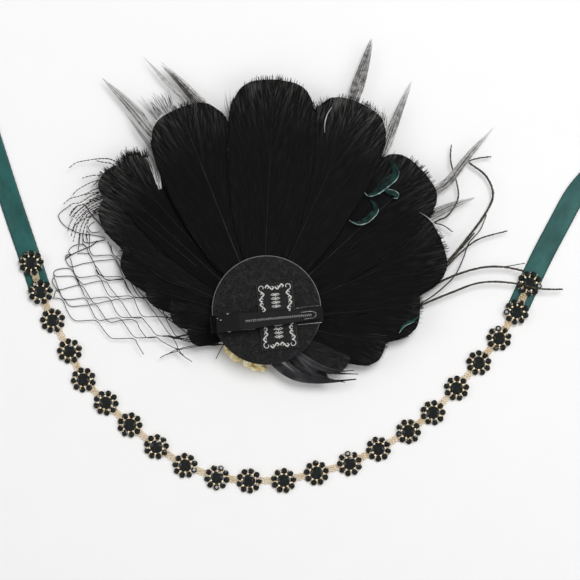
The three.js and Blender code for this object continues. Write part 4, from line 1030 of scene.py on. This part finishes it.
# Veil: a doubled piece of black knotted net with lozenge cells, gathered under the hub and spread to the left.
# routes of its strands and of its doubled folds
NET_LINES = [
    [(-118.1, -5.0), (-118.8, -6.2), (-118.2, -8.3), (-116.9, -10.3), (-115.4, -11.3), (-114.1, -14.4),
     (-112.6, -16.2), (-110.5, -18.7), (-108.8, -19.4), (-104.7, -19.0), (-100.6, -18.7), (-98.3, -18.1),
     (-96.8, -18.7), (-94.0, -22.6), (-91.7, -25.9), (-89.6, -27.3), (-85.0, -26.4), (-82.2, -26.0),
     (-78.9, -25.9), (-76.6, -27.1), (-75.0, -30.4), (-72.2, -34.2), (-71.5, -34.9), (-66.4, -34.7)],
    [(-118.1, -3.2), (-117.7, -5.2), (-116.9, -7.0), (-116.0, -9.8), (-115.4, -10.9), (-109.8, -9.7),
     (-105.4, -8.7), (-103.6, -9.3), (-101.6, -12.3), (-99.8, -15.2), (-98.0, -17.5), (-96.3, -17.8),
     (-91.9, -16.9), (-89.1, -16.4), (-86.0, -15.8), (-84.5, -16.7), (-82.2, -20.0), (-79.1, -24.5),
     (-77.6, -25.1), (-73.8, -25.1)],
    [(-118.7, -15.2), (-115.1, -15.4), (-113.3, -16.9), (-111.6, -20.8), (-109.5, -24.6), (-107.2, -26.4),
     (-102.1, -26.4), (-97.5, -26.3), (-95.7, -27.4), (-92.9, -31.2), (-90.1, -34.5), (-88.6, -35.3),
     (-79.4, -35.3), (-77.3, -35.8), (-76.3, -37.8), (-74.8, -40.4), (-73.0, -43.2)],
    [(-118.1, -14.9), (-116.7, -11.3), (-115.1, -12.3), (-114.1, -14.4), (-112.3, -15.8), (-107.7, -15.7),
     (-103.1, -15.2), (-101.6, -16.2), (-100.3, -18.7), (-98.8, -21.8), (-97.0, -25.1), (-95.2, -26.3),
     (-91.1, -25.7), (-85.3, -25.2), (-83.7, -26.6), (-81.1, -30.2), (-78.6, -33.7), (-76.8, -34.9),
     (-72.0, -34.9), (-66.4, -34.7), (-64.6, -36.3), (-62.0, -37.8), (-57.4, -40.1), (-55.4, -40.6),
     (-54.6, -42.4), (-53.1, -43.6)],
    [(-118.1, -3.2), (-116.9, -4.3), (-112.8, -4.2), (-108.2, -4.4), (-106.5, -6.0), (-105.2, -8.5),
     (-103.6, -11.8), (-102.4, -14.3), (-100.6, -15.5), (-97.0, -15.0), (-91.1, -14.9), (-89.6, -16.2),
     (-88.1, -19.5), (-86.6, -22.3), (-85.0, -24.1), (-83.5, -24.8), (-78.9, -24.8), (-74.0, -24.9),
     (-72.5, -26.6), (-69.9, -29.6), (-67.1, -33.2), (-65.3, -34.0), (-61.0, -34.0), (-58.2, -35.3),
     (-55.6, -35.5), (-51.8, -36.5), (-46.7, -37.3)],
    [(-109.8, 5.1), (-109.0, 2.3), (-108.5, -0.3), (-107.2, -3.6), (-105.7, -4.7), (-101.6, -4.6),
     (-96.3, -4.1), (-94.7, -5.5), (-94.0, -6.6), (-92.9, -9.3), (-91.4, -12.3), (-90.4, -13.8),
     (-89.1, -14.6), (-85.8, -14.4), (-79.9, -14.2), (-78.1, -15.1), (-77.3, -16.9), (-76.0, -20.2),
     (-74.5, -23.0), (-73.2, -24.3), (-67.1, -24.4), (-62.8, -24.5)],
    [(-107.7, -3.4), (-106.2, -5.5), (-104.4, -7.5), (-103.1, -8.3), (-99.1, -7.4), (-94.2, -6.6),
     (-91.7, -7.1), (-89.9, -9.8), (-88.1, -12.1), (-86.0, -14.6), (-84.0, -15.7), (-80.0, -15.3),
     (-73.8, -15.2), (-72.2, -16.1), (-70.4, -18.7), (-68.4, -21.5), (-66.4, -24.0), (-65.1, -26.1),
     (-63.3, -28.6), (-61.5, -31.4), (-59.2, -34.0), (-58.2, -35.3), (-56.9, -37.6), (-55.6, -40.6)],
    [(-96.9, -1.1), (-95.5, -3.4), (-93.8, -4.1), (-92.4, -5.7), (-90.6, -6.4), (-86.8, -5.8),
     (-83.2, -5.8), (-82.2, -8.0), (-80.9, -10.8), (-78.9, -13.3), (-77.6, -14.6), (-71.7, -14.8)],
    [(-95.5, -1.1), (-94.2, -3.2), (-92.9, -4.4), (-88.1, -4.4), (-84.5, -4.6), (-82.7, -6.2),
     (-81.1, -9.5), (-78.9, -13.3)],
    [(-112.3, 4.6), (-111.3, 2.3), (-109.8, 0.5), (-108.5, 0.5), (-103.6, 2.0), (-98.8, 2.8), (-97.8, 3.2),
     (-91.9, 3.8), (-87.6, 4.0), (-86.3, 2.0), (-84.8, -0.8), (-83.8, -3.4), (-82.5, -5.2), (-79.6, -6.0),
     (-77.8, -8.3), (-75.5, -11.6), (-73.5, -13.9), (-71.7, -15.4), (-68.6, -16.4)],
    [(-106.2, 7.0), (-103.6, 7.3), (-100.8, 6.9), (-99.1, 4.6), (-98.3, 3.3), (-97.5, 1.3), (-96.0, -2.0),
     (-94.7, -3.8), (-93.7, -4.1)],
    [(-103.6, 12.0), (-101.6, 10.2), (-100.8, 7.7), (-98.5, 3.8), (-97.8, 2.0), (-95.7, -0.8),
     (-93.7, -4.3), (-92.4, -5.6), (-90.6, -6.1), (-83.2, -5.9)],
    [(-100.3, 12.0), (-100.3, 9.9), (-99.6, 7.7), (-98.3, 6.1), (-94.5, 6.2), (-89.1, 6.1), (-87.3, 4.8),
     (-86.0, 2.5), (-84.3, -0.5), (-82.7, -3.4), (-80.7, -6.0), (-78.1, -5.7)],
    [(-105.7, 11.7), (-108.5, 10.7), (-110.3, 8.9), (-110.5, 7.9), (-109.5, 6.6)],
    [(-105.7, 11.7), (-103.6, 11.6), (-101.6, 10.2)],
    [(-118.1, -3.1), (-117.7, -1.8), (-115.9, -0.8), (-110.8, -0.3), (-109.3, -0.8), (-107.7, -3.3),
     (-105.7, -6.9), (-104.7, -9.4)],
    [(-91.1, 13.0), (-89.6, 10.2), (-88.6, 7.1), (-86.8, 5.6), (-85.5, 6.2)],
    [(-89.4, 11.5), (-88.9, 8.4), (-88.1, 6.6), (-86.0, 4.8), (-84.3, 3.1), (-82.0, 0.3), (-79.2, -2.8)],
    [(-115.8, 26.0), (-114.9, 23.7), (-112.8, 21.2), (-110.5, 19.6), (-108.5, 18.6), (-105.7, 17.5),
     (-102.1, 16.7), (-97.5, 16.2), (-95.0, 15.7), (-92.2, 14.8)],
    [(-115.8, 26.0), (-114.4, 27.8), (-111.8, 29.8), (-109.3, 31.4)],
    [(-108.2, 18.6), (-107.7, 20.7), (-105.7, 22.7), (-103.4, 24.2), (-101.6, 25.1), (-99.3, 26.0),
     (-96.5, 26.5), (-93.2, 26.9)],
    [(-105.7, 31.4), (-108.5, 28.3), (-109.8, 26.3)],
    [(-103.4, 17.1), (-103.4, 15.0), (-102.9, 13.0), (-101.1, 12.4), (-97.0, 13.1), (-96.0, 13.5)],
    [(-101.9, 17.1), (-101.6, 14.8), (-101.0, 12.4)],
    [(-104.7, 17.1), (-105.2, 14.0), (-105.4, 11.5), (-105.8, 8.7)],
    [(-97.5, 23.0), (-99.6, 21.7), (-100.6, 20.2), (-100.3, 18.9), (-99.1, 17.7), (-95.0, 17.9)],
    [(-101.6, 18.4), (-100.3, 17.1), (-100.1, 14.8), (-100.2, 12.0)],
    [(-79.6, -5.9), (-77.8, -8.2), (-75.5, -11.5), (-73.5, -13.8), (-71.7, -15.1), (-68.6, -16.4),
     (-66.6, -17.9)],
    [(-78.1, -5.7), (-75.5, -7.7), (-73.5, -10.3), (-71.2, -12.6), (-69.2, -14.8)],
    [(-63.5, -21.2), (-62.5, -23.8), (-61.8, -25.3), (-60.0, -29.1), (-58.4, -31.7), (-56.7, -34.0),
     (-54.4, -34.0), (-50.5, -33.5)],
    [(-61.0, -34.0), (-59.2, -34.6), (-55.1, -34.4), (-50.5, -33.5)],
    [(-45.0, -38.6), (-50.5, -39.3), (-55.4, -40.6), (-57.9, -41.4), (-61.3, -43.4)],
    [(-66.5, -33.8), (-57.3, -35.0), (-48.8, -36.1), (-41.9, -38.0), (-35.7, -38.4), (-31.1, -37.7)],
    [(-50.4, -33.0), (-45.0, -36.5), (-38.8, -38.8), (-32.7, -38.0)],
    [(-58.1, -35.0), (-54.2, -33.8), (-48.8, -33.0), (-45.0, -34.6), (-38.1, -38.0)],
    [(-56.5, -41.1), (-48.1, -39.6), (-41.9, -38.8), (-35.7, -38.3)],
    [(-55.7, -41.5), (-61.9, -43.4), (-64.8, -45.0)],
    [(-57.3, -40.0), (-53.4, -43.8), (-48.8, -46.9)],
    [(-31.9, -36.9), (-33.8, -39.6), (-36.9, -45.4)],
    [(-80.4, -5.4), (-75.0, -14.6), (-70.4, -15.4), (-65.0, -21.5), (-59.6, -25.4)],
]
NET_FOLDS = [
    [(-112.3, 4.7), (-109.8, 6.1), (-106.7, 7.7), (-102.1, 9.7), (-99.6, 10.7), (-96.5, 12.9), (-92.2, 14.0)],
    [(-112.3, 5.6), (-111.0, 6.5), (-109.5, 6.4), (-111.8, 4.6)],
    [(-102.4, 31.4), (-100.6, 28.8), (-99.1, 26.3), (-97.0, 24.0), (-95.0, 21.7), (-93.7, 20.2)],
    [(-99.1, 26.5), (-97.0, 28.6), (-93.2, 30.9)],
    [(-66.1, -24.4), (-62.8, -24.6), (-60.5, -24.8), (-56.9, -26.3)],
    [(-58.2, -35.3), (-55.6, -35.5), (-51.8, -36.5), (-46.7, -37.3), (-41.6, -38.1), (-36.5, -38.1)],
    [(-61.1, -33.8), (-52.7, -35.4), (-45.0, -36.9), (-38.8, -38.0), (-34.2, -38.4), (-29.6, -37.7)],
    [(-61.9, -24.6), (-55.7, -29.2), (-50.4, -33.0), (-45.0, -33.8), (-38.8, -36.9), (-34.2, -38.4)],
]


# the net's height at the hub and where it lies on the floor, and the reach between the two
NET_HIGH, NET_LOW = 5.8, 0.9
NET_FROM, NET_RUN = 23.7, 72.0


def veil():
    lines = []
    for n, row in enumerate(NET_LINES + NET_FOLDS):
        folded = row in NET_FOLDS
        points = smooth_route(row, 8 * len(row))
        radii = []
        for k, p in enumerate(points):
            out = (Vector((p.x, p.y, 0)) / MM - HUB).length
            share = min(max((out - NET_FROM) / NET_RUN, 0), 1)
            p.z = (NET_HIGH + (NET_LOW - NET_HIGH) * share + 0.25 * (n % 3)) * MM
            radii.append(0.26 + 0.1 * math.sin(2.3 * k) if folded else 0.19)
        lines.append((points, radii))
    cotton = mottled("black_net", (26, 25, 26), (54, 53, 54), 3.0, 2, None, (0.6, 0.2), Specular_IOR_Level=0.2)
    piece("net_mesh", tubes("net_mesh", lines), "net", cotton, replaces=("veil_net",))


veil()


# Green feathers: dyed tips that curl out between the two layers of black ones, each a glossy quill with a short vane
# on its outer side. The quills are drawn pale, a painted highlight along them.
GREEN_Z = 10.5
CURL_STEPS = 60
# the share of a curl, in steps, that its quill leaves bare
CURL_BARE = 14
CURL_BARBS = 420
# the widest reach of a curl's vane, and its quill from root to tip
CURLS = [
    (4.9, [(50.0, 53.9), (53.0, 50.9), (54.2, 47.6), (53.0, 43.9), (48.7, 40.1), (43.5, 36.4), (39.0, 35.4),
     (37.0, 37.1)]),
    (2.8, [(45.0, 39.9), (49.0, 38.9), (52.0, 38.1), (53.9, 36.4), (53.2, 34.4), (51.5, 34.4)]),
    (3.4, [(40.0, 33.9), (42.5, 32.4), (43.9, 29.4), (43.5, 27.2), (41.5, 24.7), (38.4, 22.2), (34.5, 21.2),
     (31.4, 22.2), (29.4, 23.5)]),
    (1.6, [(64.0, -24.6), (61.0, -27.1), (57.0, -29.1), (54.0, -32.6)]),
]


def green_curls():
    random.seed(23)
    quills, barbs = [], []
    for vane, route in CURLS:
        points = smooth_route(route, CURL_STEPS)
        for i, p in enumerate(points):
            rise = 2.0 * math.sin(math.pi * min(i / (CURL_STEPS - 1) * 0.75, 0.5))
            p.z = (GREEN_Z + rise - droop(p.x / MM, p.y / MM)) * MM
        thick = 0.055 * vane
        quill = points[CURL_BARE:]
        bulge = [math.sin(math.pi * i / len(quill)) ** 0.6 for i in range(len(quill))]
        quills.append((quill, [0.1 + thick * share for share in bulge]))
        for _ in range(CURL_BARBS):
            share = random.uniform(0.0, 0.95)
            k = int(share * (CURL_STEPS - 2))
            ahead = (points[k + 1] - points[k]).normalized()
            side = Vector((ahead.y, -ahead.x, 0))
            far = vane * math.sin(math.pi * min(share * 0.92 + 0.1, 1.0)) ** 0.8 * random.uniform(0.7, 1.0)
            tip = points[k] + (ahead * 0.35 + side) * far * MM - Vector((0, 0, 0.5 * MM))
            barbs.append(([points[k], points[k].lerp(tip, 0.5) + ahead * 0.2 * MM, tip], [0.14, 0.13, 0.05]))
    for name, lines, low, high, stands_for in (
        ("green_curls", barbs, (6, 30, 28), (22, 74, 66), ("green_plume",)),
        # the quills' pale tints are a painted highlight
        ("green_quills", quills, (48, 84, 80), (150, 172, 168), ()),
    ):
        dyed = mottled(name, low, high, 0.5, 3, (0.35, 0.65), (0.35, 0.2), Specular_IOR_Level=0.4)
        piece(name, tubes(name, lines), "green_feather", dyed, replaces=stands_for)


green_curls()


# Felt back: a die-cut disc of black wool felt, whose cut edge carries a painted highlight along its upper half and
# whose face sheds a little lint.
FELT = Vector((-11.596, -21.138, 0.0))
FELT_R = 27.1
FELT_LOW, FELT_TOP = 12.6, 14.1
LINT = 420


def felt_back():
    random.seed(29)
    bm = bmesh.new()
    bmesh.ops.create_circle(bm, cap_ends=True, radius=FELT_R * MM, segments=160)
    up = bmesh.ops.extrude_face_region(bm, geom=list(bm.faces))
    top = [g for g in up["geom"] if isinstance(g, bmesh.types.BMVert)]
    bmesh.ops.translate(bm, verts=top, vec=(0, 0, (FELT_TOP - FELT_LOW) * MM))
    rim = [e for e in bm.edges if all(v in top for v in e.verts)]
    bmesh.ops.bevel(bm, geom=rim, offset=0.35 * MM, segments=3, profile=0.5, affect="EDGES", material=-1)
    bmesh.ops.translate(bm, verts=bm.verts, vec=(FELT + Vector((0, 0, FELT_LOW))) * MM)
    wool = Finish("black_felt", Specular_IOR_Level=0.1, Sheen_Weight=0.08, Sheen_Roughness=0.6)
    spot = wool.place((-FELT.x, -FELT.y, 0))
    flat = wool.scaled(spot, (1, 1, 0))
    out = wool.node("ShaderNodeVectorMath", {"operation": "LENGTH"}, {0: flat}, output="Value")
    nap = wool.grain(spot, 1.8, 4, 0.7)
    fluff = wool.grain(spot, 0.35, 3)
    # painted highlight: the cut edge is drawn pale only on the disc's upper half, where light falls on it, and fades
    # out below
    upper = wool.part(spot, 1).above(-14.0, -2.0)
    painted_rim_highlight = out.above(26.6, 26.95) * (wool.grain(spot, 1.1, 3) * 0.9 + 0.2) * upper
    body = wool.blend(nap.above(0.38, 0.66), tint(8, 8, 9), tint(41, 41, 42))
    body = wool.blend(fluff.above(0.5, 0.75) * 0.35, body, tint(62, 61, 61))
    wool.finish(
        Base_Color=wool.blend(painted_rim_highlight, body, tint(140, 140, 140)),
        Roughness=0.9 + nap * 0.08,
        Normal=wool.relief(nap + fluff * 0.5, 0.25, 0.7),
    )
    mesh = mesh_of(bm, "felt_back")
    mesh.set_sharp_from_angle(angle=math.radians(50))
    made = piece("felt_back", mesh, "felt", wool, replaces=("felt_disc",))
    lint = []
    for _ in range(LINT):
        a, r = random.uniform(0, 6.283), FELT_R * math.sqrt(random.uniform(0, 0.99))
        root = FELT + Vector((r * math.cos(a), r * math.sin(a), FELT_TOP + 0.02))
        head = random.uniform(0, 6.283)
        far = random.uniform(0.5, 1.6)
        tip = root + Vector((math.cos(head), math.sin(head), 0)) * far
        bow = root.lerp(tip, 0.5) + Vector((random.gauss(0, 0.15), random.gauss(0, 0.15), 0.08))
        lint.append(([root * MM, bow * MM, tip * MM], [0.03, 0.03, 0.015]))
    fibre = mottled("felt_fibre", (40, 40, 41), (86, 86, 87), 0.6, 2, None, (0.8, 0.1), Specular_IOR_Level=0.1)
    fuzz = piece("felt_lint", tubes("felt_lint", lint), "felt", fibre)


felt_back()


# Clip: a black-painted sprung steel clip sewn to the felt. Its jaw and lever are stamped sheet. Bright steel strips
# along the jaw's edges, a row of bright ridges along the lever, two bright spots near the hinge and a bright rim at
# the lever's tip are painted highlights, and the jaw's teeth are drawn bright as a painted highlight.
CLIP = FELT + Vector((-27.8, -7.1, 14.4))
CLIP_TURN = math.radians(5.5)
# the height of the lever's upper face along it
LEVER_TOP = [(-5.0, 6.6), (14.5, 6.6), (30.0, 5.3), (52.6, 3.2), (54.3, 2.2)]
# the bright ridges along the lever, a painted highlight: how many, where the first is, and their spacing
RIDGES, RIDGE_FROM, RIDGE_STEP = 36, 17.6, 0.92
# the jaw's teeth that show beside the lever, drawn bright as a painted highlight
TEETH, TOOTH_FROM = 24, 24.4
# the bright spots near the hinge, a painted highlight, and the rim of the groove at the lever's tip, also a painted
# highlight: its places and its radius at each
HINGE_HIGHLIGHTS = ((3.9, 2.6), (5.3, 1.7))
GROOVE = (
    (45.0, 1.7, 0.08), (48.5, 1.85, 0.13), (51.0, 1.7, 0.17), (52.3, 0.9, 0.19),
    (52.6, 0.0, 0.19), (52.2, -0.9, 0.17), (50.6, -1.6, 0.13), (46.5, -1.7, 0.08),
)
# the jaw's edges, drawn as bright steel strips for a painted highlight: from, to, side and radius
EDGE_HIGHLIGHTS = ((43.0, 54.9, -4.25, 0.16), (1.0, 22.0, -4.25, 0.09), (43.0, 55.0, 4.25, 0.05))


def in_clip(x, y, z):
    """A point in the clip's own axes, in millimetres, as a place in metres."""
    c, s = math.cos(CLIP_TURN), math.sin(CLIP_TURN)
    return (CLIP + Vector((x * c - y * s, x * s + y * c, z))) * MM


def in_clip_line(*places):
    return [in_clip(*place) for place in places]


def lever_top(x):
    return between(LEVER_TOP, x)


def clip():
    paint = Finish("black_paint", Specular_IOR_Level=0.16)
    spot = paint.place()
    dust = paint.grain(spot, 1.4, 4, 0.7)
    broad = paint.grain(spot, 0.12, 2)
    paint.finish(
        Base_Color=paint.blend(broad.above(0.35, 0.7), tint(3, 3, 3), tint(12, 10, 8)),
        Roughness=0.32 + dust * 0.25,
        Normal=paint.relief(dust, 0.03, 0.4),
    )
    # bright steel for the pin and spring, and for the painted highlights drawn below
    low, high = (120, 120, 124), (215, 215, 220)
    bright = mottled("bright_steel", low, high, 2.2, 3, (0.35, 0.65), (0.25, 0.2), Metallic=1.0)
    parts = {"clip_base": paint, "clip_lever": paint, "clip_pin": bright, "clip_spring": bright}
    for name, finish in parts.items():
        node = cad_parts[name]
        node.data.materials.clear()
        node.data.materials.append(finish.material)
    for name in ("clip_base", "clip_lever"):
        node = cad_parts[name]
        weld = node.modifiers.new("weld", "WELD")
        weld.merge_threshold = 0.002 * MM
        soft = node.modifiers.new("soft_edges", "BEVEL")
        soft.width = 0.14 * MM
        soft.segments = 2
        soft.limit_method = "ANGLE"
        soft.angle_limit = math.radians(35)
        soft.harden_normals = False
    # painted highlights on the lever: bright steel ridges, the spots near the hinge and the groove's rim
    lever_glints = []
    for i in range(RIDGES):
        x = RIDGE_FROM + i * RIDGE_STEP
        z = lever_top(x) - 0.02
        lever_glints.append((in_clip_line((x, -0.55, z), (x + 0.35, 0.0, z + 0.12), (x, 0.55, z)), [0.17, 0.21, 0.17]))
    for x, y in HINGE_HIGHLIGHTS:
        hinge_highlight = in_clip_line((x - 0.35, y, 6.58), (x, y, 6.8), (x + 0.35, y, 6.58))
        lever_glints.append((hinge_highlight, [0.3, 0.42, 0.3]))
    lever_glints.append((in_clip_line(*[(x, y, lever_top(x) + 0.03) for x, y, _ in GROOVE]), [r for _, _, r in GROOVE]))
    piece("lever_ridge_highlights", tubes("lever_ridge_highlights", lever_glints), "steel", bright, body="lever")
    # painted highlights on the jaw: bright steel strips along its edges, and its teeth drawn bright
    jaw_glints = []
    for x0, x1, y, thick in EDGE_HIGHLIGHTS:
        jaw_glints.append((in_clip_line((x0, y, 0.78), (x1, y, 0.78)), [thick, thick]))
    for i in range(TEETH):
        x = TOOTH_FROM + i * RIDGE_STEP
        jaw_glints.append((in_clip_line((x, 3.6, 0.85), (x + 0.2, 3.75, 1.05), (x + 0.4, 3.6, 0.85)), [0.1, 0.15, 0.1]))
    piece("jaw_edge_highlights", tubes("jaw_edge_highlights", jaw_glints, 6), "steel", bright)


clip()


# Woven label: black damask with a white scroll border and a small sprig at each end, laid across the jaw under
# the lever and glued to the felt.
LABEL_AT = (33.3, 1.1)
LABEL_SIZE = (18.0, 33.5)


# the scroll border's distance from the label's middle, and the length and number of its scrolls on a side
BORDER_X, BORDER_Y = 6.7, 14.4
SCROLL, SCROLLS = 4.92, 5


def label_height(y):
    """The height of the label's upper face over the felt at a place across the clip."""
    rise = min(max((abs(y) - 4.9) / 1.3, 0), 1)
    return 0.42 + 1.1 * (1 - rise * rise * (3 - 2 * rise))


def on_label(x, y, lift=0.0):
    return in_clip(LABEL_AT[0] + x, LABEL_AT[1] + y, label_height(LABEL_AT[1] + y) + lift)


def woven_label():
    bm = bmesh.new()
    bmesh.ops.create_grid(bm, x_segments=24, y_segments=80, size=0.5)
    weave_of = bm.verts.layers.float_vector.new("weave")
    for v in bm.verts:
        x, y = v.co.x * LABEL_SIZE[0], v.co.y * LABEL_SIZE[1]
        v[weave_of] = (x, y, 0)
        v.co = on_label(x, y)
    bmesh.ops.recalc_face_normals(bm, faces=bm.faces)
    bmesh.ops.solidify(bm, geom=bm.faces, thickness=0.25 * MM)
    cloth = Finish("label_damask", Specular_IOR_Level=0.2, Sheen_Weight=0.1)
    weave = cloth.stored("weave")
    warp, weft = (cloth.sine(cloth.part(weave, axis) * 16.0) for axis in (0, 1))
    tone = cloth.grain(cloth.scaled(weave, (1.2, 1.2, 1)), 1.0, 3)
    across = cloth.part(weave, 0)
    side = across.maths("ABSOLUTE", across).above(8.6, 8.9)
    body = cloth.blend(tone.above(0.3, 0.7), tint(18, 18, 19), tint(38, 37, 38))
    cloth.finish(
        Base_Color=cloth.blend(side * 0.5, body, tint(80, 80, 80)),
        Roughness=0.8 + tone * 0.1,
        Normal=cloth.relief(warp * weft, 0.05, 0.6),
    )
    made = piece("label_cloth", mesh_of(bm, "label_cloth"), "label", cloth, replaces=("woven_label",))

    lines = []

    def stitch(points, radius=0.21):
        lines.append(([on_label(x, y, 0.03) for x, y in points], [radius] * len(points)))

    def scroll(x, y, turn, run, flip):
        """A leafy S: a wave along its run with a coil in each bend, in the label's own axes."""
        c, w = math.cos(turn), math.sin(turn)

        def at(u, v):
            return x + u * c - v * flip * w, y + u * w + v * flip * c

        stitch([at(run * t / 16, 1.25 * math.sin(2 * math.pi * t / 16)) for t in range(17)])
        for middle, side in ((0.27, 1), (0.77, -1)):
            coil = []
            for t in range(15):
                a = math.pi * (1.15 - 1.75 * t / 14)
                r = 1.0 - 0.6 * t / 14
                coil.append(at(run * middle + r * math.cos(a), side * (0.05 + r * math.sin(a) * 0.9)))
            stitch(coil, 0.19)

    for sx in (-1, 1):
        for k in range(SCROLLS):
            scroll(sx * BORDER_X, SCROLL * (k - SCROLLS / 2), math.pi / 2, SCROLL, sx * (1 if k % 2 else -1))
        for sy in (-1, 1):
            corner = []
            for t in range(25):
                a = math.pi * (-0.55 + 1.75 * t / 24)
                r = 2.1 - 1.35 * t / 24
                across, up = BORDER_X - 0.3 + r * math.cos(a) * 0.9, BORDER_Y - 0.2 + r * math.sin(a) * 0.9
                corner.append((sx * across, sy * up))
            stitch(corner, 0.2)
    for sy in (-1, 1):
        scroll(-4.7, sy * BORDER_Y, 0, 4.5, sy)
        scroll(0.2, sy * BORDER_Y, 0, 4.5, -sy)
        for k in range(4):
            cy = sy * (4.6 + 1.95 * k)
            for side in (-1, 1):
                leaf = ((0, 0), (1.1, 0.7), (2.15, 0.15), (1.1, -0.25), (0, 0))
                stitch([(side * dx, cy + dy) for dx, dy in leaf], 0.22)
        stitch([(0, sy * 4.0), (0, sy * 11.4)], 0.17)
    low, high = (176, 174, 170), (238, 236, 232)
    shine = {"Specular_IOR_Level": 0.35, "Sheen_Weight": 0.2}
    floss = mottled("white_floss", low, high, 4.0, 2, (0.3, 0.7), (0.6, 0.15), **shine)
    scrolls = piece("label_scrolls", tubes("label_scrolls", lines), "label", floss)


woven_label()
